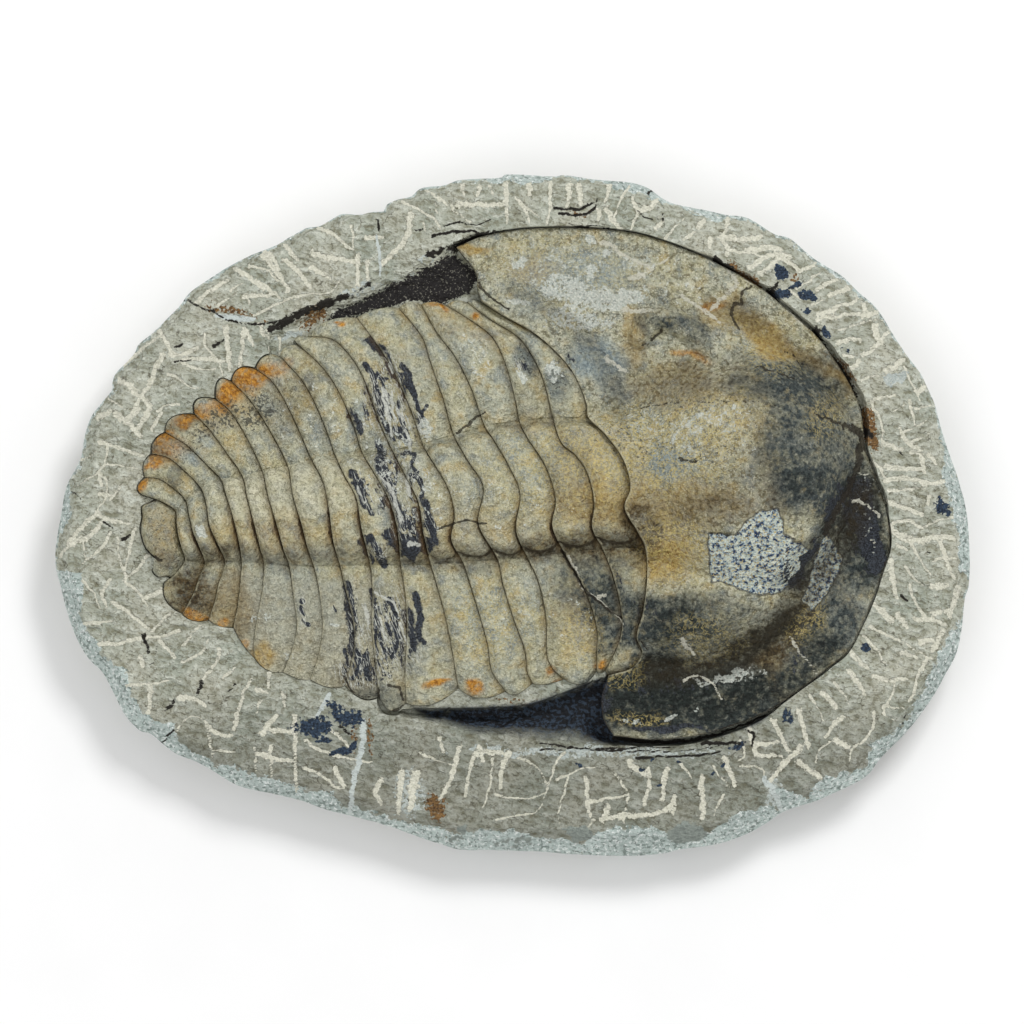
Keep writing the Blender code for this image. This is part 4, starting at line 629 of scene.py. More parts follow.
        (72, -44, 10, 4, 12, 0.35), (86, 44, 9, 6, 0, 0.25), (60, 45, 14, 5, 0, 0.12),
        (-110, -14, 10, 3, 0, 0.25),
    ],
    "stipple": [
        (-106, 34, 6, 7, -20, 1), (-93, 36, 6, 9, -30, 1), (-112, 27, 5, 4, 0, 0.8),
        (-118, 20, 5, 4, 0, 0.7), (-82, 38, 5, 9, 0, 0.5), (-127, -6, 6, 9, 0, 0.5),
        (-115, -28, 6, 8, 0, 0.7), (10, -40, 8, 15, 0, 0.2), (-85, 5, 12, 8, 0, 0.3), (17, 50, 5, 9, 20, 1),
        (4, 56, 4, 7, 20, 0.7), (60, 28, 34, 14, 0, 0.6), (22, 68, 13, 5, -10, 0.7),
        (100, -45, 12, 12, 0, 0.4), (-30, -40, 40, 16, 0, 0.2), (110, 25, 12, 20, 0, 0.3),
    ],
}
# Broken patches with coarse grey and blue grains
GRANITE = [
    (70, -8.5, 80, -9, 83, -5, 87, -1.5, 95, 0.5, 97, -4, 97, -9, 103, -12, 106.5, -13.5, 105.5, -18, 102,
        -23,
     97, -28.5, 91, -30, 84, -29, 80, -27, 75, -25.5, 71, -25.5, 70.5, -16),
    (113.2, -7.6, 116.9, -12, 119.1, -15.7, 118.1, -21.4, 115, -25.7, 111.9, -31.3, 107.6, -35.1, 103.8,
        -31.3,
     106.9, -24.5, 108.8, -16.3, 110.7, -10.1),
]
SLATE_BLOTCH = (12, 66, 22, 65.5, 30, 62.5, 35, 57.5, 39.5, 50, 43, 42, 40, 36, 32, 36, 27, 40, 24, 47, 20,
    55, 14, 62)
BLACK_CRYSTALS = (
    -67, 70, -58.8, 71, -51.8, 73.3, -43.6, 74.8, -37.2, 77.4, -32.5, 76.6, -26.1, 76, -20.8, 78, -15, 80.4,
    -12.1, 85, -13.8, 89.1, -19.1, 92.1, -20.2, 94.7, -23.7, 93.2, -29.6, 89.7, -35.4, 86.8, -43.6, 83.3,
    -50.6, 79.2, -57.6, 75.7, -63.5, 73.9,
)
# Outline of the trench floor that is painted dark as shadow
TRENCH_FLOOR = (
    -36, -70.2, -23, -70.2, 4.3, -69, 16, -65.2, 30, -59.7, 35, -58.9, 33, -68, 37, -80.3, 50, -82, 66, -81,
    80, -78, 94, -71.5, 90, -75, 76, -80, 60.3, -83, 31.6, -82.8, 8.2, -80.8, -13.7, -78.4, -30.9, -73.8,
)
SHELL_CRACKS = [
    (17.7, -13.7, 25.3, -26.5, 27.7, -30.1, 39.3, -38.2), (-20, 28.5, -17, 31, -10.5, 36),
    (-27, -6.5, -22, -4.8, -15.6, -3.4, -9, -4.6), (86, 82, 83, 80, 83, 76, 80, 76, 79, 71, 82, 66.5),
    (108.5, 35, 113, 33, 119, 31.5, 124, 29), (98, 58, 102, 56.5, 104, 53.5, 106, 56),
    (46, 37.5, 58, 39, 72, 38.5, 82, 39, 96, 37), (50, 62, 54, 66), (60, 18, 66, 17),
    (88, 52, 96, 50, 104, 46), (46, -47, 49, -49.5), (92.8, -63.3, 95.9, -68), (71, -8.7, 80, -9.3),
    (106.9, -11.3, 108.8, -9.8, 112.5, -7.6), (116, -9, 118, -12, 120, -15), (47, 60.5, 49, 62),
    (-133, -12, -130, -15.5, -126, -17.5), (-60, -59, -58, -64, -54, -66.5, -49, -65.5),
    (-48, -63, -47, -72, -43, -71.6, -39.5, -69), (-45, -62.5, -41, -63.5, -39.5, -68),
    (-12, 83, -9, 78.5, -5, 75.3, -1.5, 73.3),
]
STRANDS = [
    (-51.5, 62, -49, 60, -46, 57, -44.5, 54, -44, 51, -42, 50),
    (-53.5, 53, -51, 50, -49.5, 46, -48.5, 42, -47.5, 38), (-48, 42, -47, 37, -46, 33, -44, 29, -42.5, 26),
    (-44, 50, -41, 49, -40, 45, -39.5, 41), (-42, 50, -38, 50, -37.5, 46),
    (-40, 53, -37.5, 49, -36, 44, -34.5, 40, -33, 36, -32, 33), (-38.5, 47, -36, 42, -34, 37),
    (-34, 33, -31, 38), (-46.5, 47, -45.5, 42, -45, 38, -43.5, 34), (-48.5, 36, -46.5, 32, -45, 29),
    (-41, 40, -40.5, 36, -39, 32, -37.5, 28), (-58.5, 36, -56.5, 33, -54.5, 29),
    (-49, 50, -47, 48, -45, 48), (-41.5, 30, -39, 27, -37.5, 25),
    (-48.5, 25, -47, 21, -46, 17, -44.5, 12, -42.5, 6, -40.5, 0, -38.5, -5),
    (-47, 22, -48, 18, -46.5, 13, -45, 8, -43.5, 3, -42, -3), (-42, 21, -41.5, 15, -42, 9),
    (-45.5, 13, -43, 8, -41.5, 3, -40.5, -2, -39.5, -6), (-38.5, 21, -35.5, 21, -36, 17, -34.5, 14),
    (-36.5, 13, -34, 12, -32.2, 8, -32, 5, -34, 3, -36.5, 6, -36.5, 13),
    (-31.5, 3, -30, -2, -29, -7, -27.5, -11), (-57.5, 14, -55, 11, -54, 7, -52.5, 3, -50.5, -1),
    (-56.5, 10, -54.5, 6, -53, 1), (-47, 2, -45, 5, -44, 2),
    (-54, -11, -51, -10, -49, -13, -47, -17, -46, -19), (-53.5, -12, -52.5, -15, -50, -18),
    (-45, -8, -42, -12, -40, -15), (-34, -8, -33, -12, -35, -17), (-41, -5, -36, -6, -31, -5),
    (-39, -2, -37, -5), (-35, 0, -33, -5), (-59.5, -27, -59, -32, -58, -38, -57.5, -44, -57.5, -50),
    (-58, -28, -57.5, -33, -56.5, -40), (-51, -28, -49, -36, -49, -44, -48.5, -50, -49.5, -56),
    (-50, -33, -48, -40, -47, -47, -45.5, -53), (-44, -32, -42, -38, -41.5, -45, -43, -52),
    (-42, -38, -40, -46, -40, -54), (-35, -30, -33, -37, -34, -44, -31.5, -47),
    (-38, -36, -36, -43, -36, -50), (-56, -50, -55, -56, -58, -60), (-60, -50, -59, -55),
    (-53, -52, -52, -60),
]
BLACK_LUMP = (-44, -9, -41, -7, -38, -8, -35, -9.5, -32, -9, -29, -10, -27.5, -12.5, -30, -15, -33, -14.5,
    -35, -18, -38, -17, -41, -14)
PALE_STRANDS = [
    (-44.5, 54, -43.5, 50), (-47, 45, -46, 40, -45, 35, -43.5, 30, -43, 27), (-43.5, 44, -43, 38, -42, 33),
    (-45.5, 44, -44.5, 39), (-38.5, 29, -37, 25, -36.5, 22), (-40.5, 37, -39, 33),
    (-47, 12, -44.5, 9, -42, 3, -40, -3), (-49, -29, -46, -31, -43, -33, -41, -36), (-47.5, -38, -46, -45),
    (-40, -40, -38, -48), (-34.5, 31, -33, 28), (-38, 12, -37, 6), (-55, 8, -53, 3), (-37, -12, -33, -12),
    (-53, -33, -52, -42),
]
THICK_CRACKS = [
    (120, 31, 125, 29.2, 125.9, 25.5, 124.5, 18, 123.1, 13.6, 120, 7, 117.5, 2.4, 114, -4, 112.5, -6.4),
]
SHELL_STREAKS = [
    (62, -60, 66, -58.5, 70, -60, 73, -63, 75, -67), (61, -46, 65, -51), (99.8, -44.5, 104, -51, 110, -58),
    (31, 97.8, 35, 97, 40, 93.5, 50, 88), (47, 86, 51, 88, 55, 91, 57.5, 94),
    (78, 87, 81, 83, 76, 78.5, 72, 73.5), (61, 78, 66, 75, 75, 69), (125, 14.5, 129, 13.5),
    (122.5, 4.6, 126.9, 3.3, 129.4, 1.8, 132.2, -1), (129.5, -9.5, 131, -10.5),
    (99, 73.5, 103, 70.5, 107, 66.5), (34, 55.8, 40, 50.5), (40, 73, 50, 72.5), (42, 84, 48, 86),
    (20, -15.5, 23, -21, 25, -27, 30, -31, 34, -34, 40, -40), (31, -31, 33, -30),
]

# Half widths of the painted lines, and the softness of a granular patch's edge
SHELL_CRACK_HALF_WIDTH = 0.36
THICK_CRACK_HALF_WIDTH = 1.0
ROCK_CRACK_HALF_WIDTH = 0.42
ROCK_GAP_SHADOW_HALF_WIDTH = 1.1
VEIN_HALF_WIDTH = 0.8
SHELL_STREAK_HALF_WIDTH = 0.6
STRAND_HALF_WIDTH = 1.25
PALE_STRAND_HALF_WIDTH = 0.6
GRANITE_SOFTNESS = 1.2

# Direction of the dark band's fibres, and where along X the band begins and is full
BAND_TURN = 109.0
BAND_START = 20.0
BAND_FADE = 20.0
# Where along Y the rock turns darker towards its lower edge, as painted shade
LOW_START = -55.0
LOW_FADE = 35.0
# Hollows of the head that get painted shade: line, half width, strength
HEAD_SHADED_HOLLOWS = [(LOWER_VALLEY, 8.0, 1.0), (UPPER_VALLEY, 5.0, 0.5), (REAR_FURROW, 4.0, 0.45)]
# Above this height the dome's relief is calmer
DOME_SMOOTH_ABOVE = DOME_RISE + CHEEK_TOP - 0.9

# Soft stains on the plates: their colour where the fine grain is low, and where it is high
STAIN_TONES = {
    "ochre": ((140, 112, 56), (186, 162, 104)),
    "blue": ((112, 126, 130), (168, 180, 178)),
    "umber": ((44, 36, 22), (92, 76, 46)),
    "slate": ((30, 38, 40), (76, 84, 82)),
    "dusk": ((12, 17, 14), (38, 46, 42)),
    "rust": ((134, 84, 24), (204, 148, 60)),
}

# Camera: the width of the view and its middle in metres, the lens and its sensor in millimetres
VIEW_WIDTH = 0.36864
VIEW_TARGET = (-0.00018, 0.00018, 0.034)
LENS = 300.0
SENSOR_WIDTH = 36.0
CLIP_END = 20.0


# Shape functions

def smooth_step(value):
    value = np.clip(value, 0.0, 1.0)
    return value * value * (3.0 - 2.0 * value)


def smooth_curve(points, steps=10, closed=False):
    """A dense smooth line through the points, with tangents that suit uneven spacing."""
    p = np.array(points, float)
    if closed:
        p = np.vstack([p[-1], p, p[0], p[1]])
    else:
        p = np.vstack([2 * p[0] - p[1], p, 2 * p[-1] - p[-2]])
    t = np.concatenate([[0.0], np.cumsum(np.linalg.norm(np.diff(p, axis=0), axis=1))])
    tangent = (p[2:] - p[:-2]) / (t[2:] - t[:-2])[:, None]
    s = (np.arange(steps) / steps)[:, None]
    pieces = []
    for i in range(1, len(p) - 2):
        h = t[i + 1] - t[i]
        start, end = tangent[i - 1] * h, tangent[i] * h
        pieces.append(
            (2 * s**3 - 3 * s**2 + 1) * p[i]
            + (s**3 - 2 * s**2 + s) * start
            + (3 * s**2 - 2 * s**3) * p[i + 1]
            + (s**3 - s**2) * end
        )
    if not closed:
        pieces.append(p[-2][None, :])
    return np.vstack(pieces)


def path_length(curve):
    return np.concatenate([[0.0], np.cumsum(np.linalg.norm(np.diff(curve, axis=0), axis=1))])


def along(curve, fractions):
    """Points at these fractions of an open curve's length."""
    length = path_length(curve)
    want = np.asarray(fractions) * length[-1]
    return np.stack([np.interp(want, length, curve[:, k]) for k in range(curve.shape[1])], axis=1)


def by_x(table, x):
    places, values = zip(*table)
    return np.interp(x, places, values)


def by_angle(table, degrees, column):
    """A value read round the slab from a table of angle and values."""
    rows = np.array(table, float)
    angle = rows[0, 0] + np.mod(np.asarray(degrees) - rows[0, 0], 360.0)
    angles = np.append(rows[:, 0], rows[0, 0] + 360.0)
    values = np.append(rows[:, column], rows[0, column])
    return np.interp(angle, angles, values)


def to_stretch(x, y, start, end, least=0.0):
    """Each point's distance from a straight stretch, and how far along the stretch it lies, 0 to 1."""
    (ax, ay), (bx, by) = start, end
    dx, dy = bx - ax, by - ay
    t = np.clip(((x - ax) * dx + (y - ay) * dy) / (dx * dx + dy * dy + least), 0.0, 1.0)
    return np.hypot(x - ax - t * dx, y - ay - t * dy), t


def distance_to_line(x, y, points):
    """Distance in plan from each x, y to a smooth line."""
    line = smooth_curve(points, 4)
    best = np.full(np.shape(x), FAR)
    for start, end in zip(line[:-1], line[1:]):
        best = np.minimum(best, to_stretch(x, y, start, end)[0])
    return best


def ridge(distance, half_width, power=1.0):
    """1 on a line, falling smoothly to 0 at half_width from it."""
    return np.clip(1.0 - (distance / half_width) ** 2, 0.0, 1.0) ** (1.0 + power)


def bell(value, middle, width):
    """1 where the value is at the middle, falling smoothly to 0 on both sides."""
    return np.exp(-(((value - middle) / width) ** 2))


def bevel(distance, width):
    """1 at an edge, falling to 0 at this distance from it."""
    return np.clip(1 - distance / width, 0, 1) ** 2


def broken(x, y):
    """Uneven, broken rock: a smooth made-up relief between about -1 and 1."""
    return (
        0.5 * np.sin(0.21 * x + 1.3) * np.sin(0.17 * y - 0.4)
        + 0.35 * np.sin(0.09 * x - 0.23 * y + 2.0)
        + 0.25 * np.sin(0.37 * x + 0.29 * y)
    )


def sideways(curve):
    """Unit normals of an open plan curve that runs from its upper to its lower end. They point to +X."""
    tangent = np.gradient(curve, axis=0)
    tangent /= np.linalg.norm(tangent, axis=1)[:, None]
    return np.stack([-tangent[:, 1], tangent[:, 0]], axis=1)


# Relief


def value_noise(x, y, size, seed):
    """Smooth random relief between -1 and 1 with bumps about this many millimetres apart."""
    table = np.random.default_rng(seed).uniform(-1.0, 1.0, (128, 128))
    u, v = x / size, y / size
    i, j = np.floor(u).astype(int), np.floor(v).astype(int)
    fu, fv = smooth_step(u - i), smooth_step(v - j)
    low = table[i % 128, j % 128] * (1 - fu) + table[(i + 1) % 128, j % 128] * fu
    high = table[i % 128, (j + 1) % 128] * (1 - fu) + table[(i + 1) % 128, (j + 1) % 128] * fu
    return low * (1 - fv) + high * fv


def relief(x, y, size, octaves, seed):
    total, weight = 0.0, 0.0
    for k in range(octaves):
        turned_x = x * math.cos(k) - y * math.sin(k)
        turned_y = x * math.sin(k) + y * math.cos(k)
        total = total + value_noise(turned_x, turned_y, size / 2**k, seed + k) / 1.7**k
        weight += 1 / 1.7**k
    return total / weight


def flakes(x, y, size, levels, seed):
    """Rock that breaks in thin sheets: flat treads with short steep steps between them."""
    warp = 0.35 * size
    u = x + warp * value_noise(x, y, 0.8 * size, seed + 7)
    v = 1.6 * y + warp * value_noise(x, y, 0.6 * size, seed + 8)
    height = levels * (0.5 + 0.5 * relief(u, v, size, 3, seed))
    tread = np.floor(height)
    return (tread + smooth_step((height - tread - 0.72) / 0.28)) / levels


# Forms of the plates


def seam_stretches(seam):
    """The seam's smooth line in three: upper pleura, axis, lower pleura."""
    upper, axis, lower = seam
    steps = 10
    curve = smooth_curve(upper + axis + lower, steps)
    first = (len(upper) - 1) * steps
    second = first + len(axis) * steps
    return curve[: first + 1], curve[first : second + 1], curve[second:]


def seam_points(seam, counts):
    parts = [along(line, np.linspace(0, 1, n + 1)) for line, n in zip(seam_stretches(seam), counts)]
    return np.vstack([parts[0], parts[1][1:], parts[2][1:]])


def column_counts(front, rear):
    """How many columns the pleurae and the axis between two seams need."""
    longest = []
    for a, b in zip(seam_stretches(front), seam_stretches(rear)):
        longest.append(max(path_length(a)[-1], path_length(b)[-1]))
    return [max(4, round(length / STEP)) for length in longest]


def axis_share(counts):
    """For each column: how far across the axis it is, or -1, and how far out along a pleura."""
    upper, axis, lower = counts
    step = np.arange(upper + axis + lower + 1)
    on_axis = (step >= upper) & (step <= upper + axis)
    across = np.where(on_axis, (step - upper) / axis, -1.0)
    out = np.maximum((upper - step) / upper, (step - upper - axis) / lower)
    return across, np.clip(out, 0.0, 1.0)


def segment_height(x, row, across, out):
    """Top of a thoracic plate. row is 0 at its front edge and 1 at its overlapping rear edge."""
    furrow = by_x(FURROW_BY_X, x)
    swell = PLEURA_SWELL * np.sin(math.pi * out**0.7)
    pleura = furrow + swell - (furrow - PLEURA_TIP) * out**2.4
    crest = np.sin(math.pi * np.clip(across, 0.0, 1.0)) ** AXIS_ROUNDNESS
    ring = furrow + by_x(AXIS_RISE_BY_X, x) * crest
    height = np.where(across >= 0.0, ring, pleura)
    inner = np.where(across >= 0.0, 1.0, np.clip(1.0 - 0.45 * out, 0.0, 1.0))
    overlap = OVERLAP_STEP * smooth_step(row / OVERLAP_ROW) - OVERLAP_DIP
    return height + overlap * inner


def head_height(x, y):
    """Top of the head shield."""
    margin = distance_to_line(x, y, HEAD_FRONT)
    base = BORDER_TOP + (CHEEK_TOP - BORDER_TOP) * smooth_step(margin / BORDER_SLOPE)
    radius = np.hypot(x - DOME_CENTRE[0], y - DOME_CENTRE[1]) / DOME_RADIUS
    dome = DOME_RISE * np.clip(1.0 - radius**DOME_FLATNESS, 0.0, 1.0) ** DOME_SOFTNESS
    neck = NECK_RISE * ridge(distance_to_line(x, y, NECK_LINE), NECK_HALF_WIDTH, -0.25)
    across_cheek = (x - LOWER_CHEEK[0]) / LOWER_CHEEK_SPREAD[0]
    along_cheek = (y - LOWER_CHEEK[1]) / LOWER_CHEEK_SPREAD[1]
    cheek = LOWER_CHEEK_RISE * np.clip(1.0 - across_cheek**2 - along_cheek**2, 0.0, 1.0)
    eye = EYE_RISE * ridge(distance_to_line(x, y, EYE_LOBE), EYE_HALF_WIDTH, 0.0)
    height = base + np.maximum(np.maximum(dome, neck), cheek) + eye
    for line, depth, half_width in (
        (LOWER_VALLEY, LOWER_VALLEY_DEPTH, LOWER_VALLEY_HALF_WIDTH),
        (UPPER_VALLEY, UPPER_VALLEY_DEPTH, UPPER_VALLEY_HALF_WIDTH),
        (REAR_FURROW, REAR_FURROW_DEPTH, REAR_FURROW_HALF_WIDTH),
    ):
        height = height - depth * ridge(distance_to_line(x, y, line), half_width, 0.1)
    return np.maximum(height, HEAD_LOWEST)


def gap_along(plan, axis):
    """Each point's distance from the first and from the last point of its row or column."""
    steps = np.linalg.norm(np.diff(plan, axis=axis), axis=2)
    total = np.cumsum(steps, axis=axis)
    zero = np.zeros_like(np.take(total, [0], axis=axis))
    from_first = np.concatenate([zero, total], axis=axis)
    return from_first, np.take(from_first, [-1], axis=axis) - from_first


def shell_relief(x, y):
    """The plates' own small swellings, dents and grain."""
    wide = 0.34 * value_noise(x, y, 11.0, 11)
    middle = 0.16 * value_noise(x, y, 4.2, 12)
    return wide + middle + 0.08 * value_noise(x, y, 1.7, 13) + 0.05 * value_noise(x, y, 0.9, 14)


def segment_plan(front, rear, upper_tip, lower_tip, out, rows):
    """Plan points of a plate between two seams, its free ends rounded out to the pleural tips."""
    t = rows[:, None, None]
    plan = front[None] * (1 - t) + rear[None] * t
    bulge = 4 * rows * (1 - rows)
    share = np.clip((out - TIP_START) / (1 - TIP_START), 0.0, 1.0) ** 2
    middle = len(out) // 2
    for columns, end, tip in ((slice(0, middle), 0, upper_tip), (slice(middle, None), -1, lower_tip)):
        reach = np.array(tip) - (front[end] + rear[end]) / 2
        plan[:, columns] += bulge[:, None, None] * share[None, columns, None] * reach
    return plan


def segment_grid(number):
    """A plate's plan points, its rows, and each column's place across the axis and out along a pleura."""
    seams = SEAMS[number - 1], SEAMS[number]
    counts = column_counts(*seams)
    across, out = axis_share(counts)
    front, rear = (seam_points(seam, counts) for seam in seams)
    front = front - sideways(front) * PLATE_GAP / 2
    rear = rear + sideways(rear) * PLATE_GAP / 2
    even = np.linspace(0, 1, SEGMENT_ROWS + 1)
    rows = even - ROW_CROWDING * np.sin(2 * math.pi * even)
    plan = segment_plan(front, rear, UPPER_TIPS[number - 1], LOWER_TIPS[number - 1], out, rows)
    axis_length = (path_length(front)[-1] + path_length(rear)[-1]) / 2 * counts[1] / sum(counts)
    lower = np.arange(len(out))[None] > counts[0] + counts[1]
    return plan, rows[:, None], across[None], out[None], lower, axis_length


def segment_worn(number, out, lower):
    """How much of a plate's form is worn away: only on the lower pleura."""
    return by_x(WORN_BY_SEGMENT, number) * smooth_step((out - WORN_START) / WORN_FADE) * lower


def pleura_form(row, out, worn):
    """The plate's swelling between its seams, and the furrow along its pleurae."""
    on_pleura = smooth_step(out / PLEURA_START) * smooth_step((1 - out) / PLEURA_END)
    rib = RIB_RISE * (np.sin(math.pi * row) ** 0.8 - 0.35) * (1 - 0.85 * worn)
    return rib, FURROW_DEPTH * bell(row, FURROW_ROW, FURROW_HALF_WIDTH) * on_pleura


def make_segment(number):
    plan, row, across, out, lower, axis_length = segment_grid(number)
    x, y = plan[..., 0], plan[..., 1]
    height = segment_height(x, row, across, out)
    from_front, from_rear = gap_along(plan, 0)
    end = np.minimum(*gap_along(plan, 1))
    worn = segment_worn(number, out, lower)
    rib, furrow = pleura_form(row, out, worn)
    height = height + rib
    height = height - furrow
    arch = np.sin(math.pi * np.clip(row, 0, ARCH_END)) ** ARCH_ROUNDNESS
    past_lower = (across - LOWER_LOBE_END - LOWER_LOBE_SAG * arch) * axis_length
    past_upper = (UPPER_LOBE_END - UPPER_LOBE_SAG * arch - across) * axis_length
    on_axis = across >= 0.0
    height = height + LOWER_LOBE_RISE * bell(past_lower, *LOWER_LOBE_SPREAD) * arch * on_axis
    height = height + UPPER_LOBE_RISE * bell(past_upper, *UPPER_LOBE_SPREAD) * arch * on_axis
    lobed = by_x(LOBES_BY_SEGMENT, number)
    for past in (past_lower, past_upper):
        height = height - LOBE_TROUGH * lobed * bell(past, *TROUGH_SPREAD) * on_axis
    block_end = BLOCK_END + 0.03 * value_noise(x, y, 2.5, 21)
    block = by_x(BLOCK_BY_SEGMENT, number) * smooth_step((block_end - across) * axis_length / 0.8) * on_axis
    height = height + BLOCK_RISE * block
    height = height - 0.5 * bevel(from_rear, SEGMENT_BEVEL)
    height = height - (1 - 0.9 * worn) * bevel(end, TIP_BEVEL)
    height = height + shell_relief(x, y) + shell_mark_relief(x, y)
    obj = plate_mesh(f"segment_{number:02d}", plan, height, np.minimum(from_front, 1.6 * end))
    # Painted shade in the troughs past the lobes, and a painted shadow line along each lobe's lower edge
    troughs = np.maximum(bell(past_lower, 0.8, 1.6), 0.5 * bell(past_upper, 0.5, 1.3))
    line = np.where(on_axis, 1 - np.abs(past_lower) / LOBE_SHADOW_HALF_WIDTH - 2 * (1 - lobed), -2.0)
    marks = {
        "deep": np.where(on_axis, bell(across, by_x(SEAM_SHADOW_BY_SEGMENT, number), 0.2), 0.0),
        "painted_shade": np.where(on_axis, troughs * (0.3 + 0.7 * lobed), 0.0),
        "front": from_front,
        "rear": np.minimum(from_rear, NO_SEAM),
        "worn": worn,
        "block": block,
        # Painted light and shade: each plate lighter along the middle of its rib, darker towards its seams
        "rib": np.sin(math.pi * row) ** 0.7,
        "arc": np.clip(line, -2.0, 1.0),
    }
    for name, values in marks.items():
        store(obj, name, plate_rim(np.broadcast_to(values, height.shape)))
    return obj, plan


def head_plan():
    """Plan points of the head shield as a patch between the first seam, the front edge and two ends."""
    stretch = [round(HEAD_COLUMNS * share) for share in (0.35, 0.3, 0.35)]
    rear = seam_points(SEAMS[0], stretch)
    rear = rear + sideways(rear) * PLATE_GAP / 2
    u = np.linspace(0, 1, len(rear))[None, :, None]
    v = np.linspace(0, 1, HEAD_ROWS + 1)[:, None, None]
    front = along(smooth_curve(HEAD_FRONT[::-1]), u.ravel())
    upper = along(smooth_curve([tuple(rear[0])] + HEAD_UPPER_END[1:]), v.ravel())
    lower = along(smooth_curve([tuple(rear[-1])] + HEAD_LOWER_END[1:]), v.ravel())
    plan = rear[None] * (1 - v) + front[None] * v
    plan += (upper[:, None] - (rear[0] * (1 - v) + front[0] * v)) * (1 - u) ** 3
    plan += (lower[:, None] - (rear[-1] * (1 - v) + front[-1] * v)) * u**3
    return plan


def make_head():
    plan = head_plan()
    x, y = plan[..., 0], plan[..., 1]
    behind = np.linspace(0, 1, HEAD_ROWS + 1)[:, None]
    height = head_height(x, y) + REAR_EDGE_STEP * (1 - smooth_step(behind / REAR_EDGE_ROW))
    from_rear, from_front = gap_along(plan, 0)
    edge = np.minimum(from_front, np.minimum(*gap_along(plan, 1)))
    height = height - 0.5 * bevel(from_rear, HEAD_REAR_BEVEL)
    height = height - 1.0 * bevel(edge, HEAD_BEVEL)
    calm = np.where(height > DOME_SMOOTH_ABOVE, 0.5, 1.0)
    height = height + shell_relief(x, y) * calm + shell_mark_relief(x, y)
    obj = plate_mesh("head_shield", plan, height, edge)
    # Painted shade, dark brown, in the head's valleys and rear furrow
    painted_shade = 0.0
    for line, half_width, share in HEAD_SHADED_HOLLOWS:
        painted_shade = np.maximum(painted_shade, share * ridge(distance_to_line(x, y, line), half_width, 0.1))
    store(obj, "painted_shade", plate_rim(painted_shade))
    store(obj, "rear", plate_rim(from_rear))
    store_even(obj, rib=0.55, arc=-2.0, deep=0.25, front=NO_SEAM)
    return obj, plan


def tail_outline():
    """The tail plate's outline: along the last seam, then round its free edge."""
    upper, axis, lower = seam_stretches(SEAMS[-1])
    first = along(upper, np.linspace(TAIL_UPPER_SHARE, 1, 30))
    last = along(lower, np.linspace(0, TAIL_LOWER_SHARE, 20))
    line = np.vstack([first, axis[1:-1], last])
    inner = line - sideways(line) * PLATE_GAP / 2
    free = smooth_curve(TAIL_EDGE)
    inner = along(inner, np.linspace(0, 1, round(path_length(inner)[-1] / STEP)))
    free = along(free, np.linspace(0, 1, round(path_length(free)[-1] / STEP)))
    return inner[::-1], free


def make_tail():
    inner, free = tail_outline()
    outline = np.vstack([inner, free])
    shares = np.linspace(1.0, 0.0, TAIL_RING_STEPS + 1)[:-1] ** 0.8
    known, heights = zip(*TAIL_RINGS[::-1])
    level = np.interp(shares, known, heights)
    plan = np.array(TAIL_MIDDLE) + (outline[None] - np.array(TAIL_MIDDLE)) * shares[:, None, None]
    x, y = plan[..., 0], plan[..., 1]
    height = level[:, None] + shell_relief(x, y) + shell_mark_relief(x, y)
    under = np.full((1, len(outline)), PLATE_UNDERSIDE)
    rings = [np.concatenate(pair) for pair in ((x[:1], x), (y[:1], y), (under, height))]
    from_edge = np.concatenate([np.zeros((1, len(outline))), gap_along(plan, 0)[0]])
    obj = ringed_mesh("tail_plate", np.dstack(rings))
    store(obj, "edge", from_edge)
    store_even(obj, rib=0.6, arc=-2.0, deep=0.25, front=NO_SEAM, rear=NO_SEAM)
    return obj, free


# The slab


def fossil_outline(head, segments, free_tail):
    """The fossil's outline in plan, counterclockwise from the head's lower corner."""
    points = [head[-1, ::-1], head[1:-1, 0][::-1], head[0, :1]]
    for plan in segments:
        points.append(plan[1:, 0])
    upper, _, lower = seam_stretches(SEAMS[-1])
    points.append(along(upper, np.linspace(0.04, TAIL_UPPER_SHARE - 0.04, 8)))
    points.append(free_tail)
    points.append(along(lower, np.linspace(TAIL_LOWER_SHARE + 0.04, 0.96, 5)))
    for plan in reversed(segments):
        points.append(plan[::-1, -1][1:])
    points.append(head[:-1, -1])
    outline = np.vstack(points)
    closed = np.vstack([outline, outline[:1]])
    return along(closed, np.linspace(0, 1, SLAB_STATIONS + 1)[:-1])


def outwards(outline):
    """Unit normals that point out of a counterclockwise outline."""
    tangent = np.roll(outline, -1, axis=0) - np.roll(outline, 1, axis=0)
    tangent /= np.linalg.norm(tangent, axis=1)[:, None]
    return np.stack([tangent[:, 1], -tangent[:, 0]], axis=1)


def ray_angles(outline):
    """The angle at which each outline point's ray reaches the slab's edge."""
    length = path_length(outline)
    where, angles = [], []
    for place, angle in RAY_ANCHORS:
        where.append(length[np.argmin(np.linalg.norm(outline - np.array(place), axis=1))])
        angles.append(angle)
    closing = length[-1] + np.linalg.norm(outline[0] - outline[-1])
    return np.interp(length, where + [closing], angles + [RAY_ANCHORS[0][1] + 360.0])


def crossings(start, end, line):
    """How far from each start the way to its end first meets a line, or infinity."""
    way = end - start
    reach = np.linalg.norm(way, axis=1)
    best = np.full(len(start), np.inf)
    for a, b in zip(line[:-1], line[1:]):
        side, gap = b - a, a - start
        turn = way[:, 0] * side[1] - way[:, 1] * side[0]
        turn = np.where(np.abs(turn) < 1e-9, 1e-9, turn)
        t = (gap[:, 0] * side[1] - gap[:, 1] * side[0]) / turn
        s = (gap[:, 0] * way[:, 1] - gap[:, 1] * way[:, 0]) / turn
        hit = (t >= 0) & (t <= 1) & (s >= 0) & (s <= 1)
        best = np.where(hit, np.minimum(best, t * reach), best)
    return best


def evened(values, width):
    """A moving average round a closed ring of values."""
    total = sum(np.roll(values, k) for k in range(-width, width + 1))
    return total / (2 * width + 1)


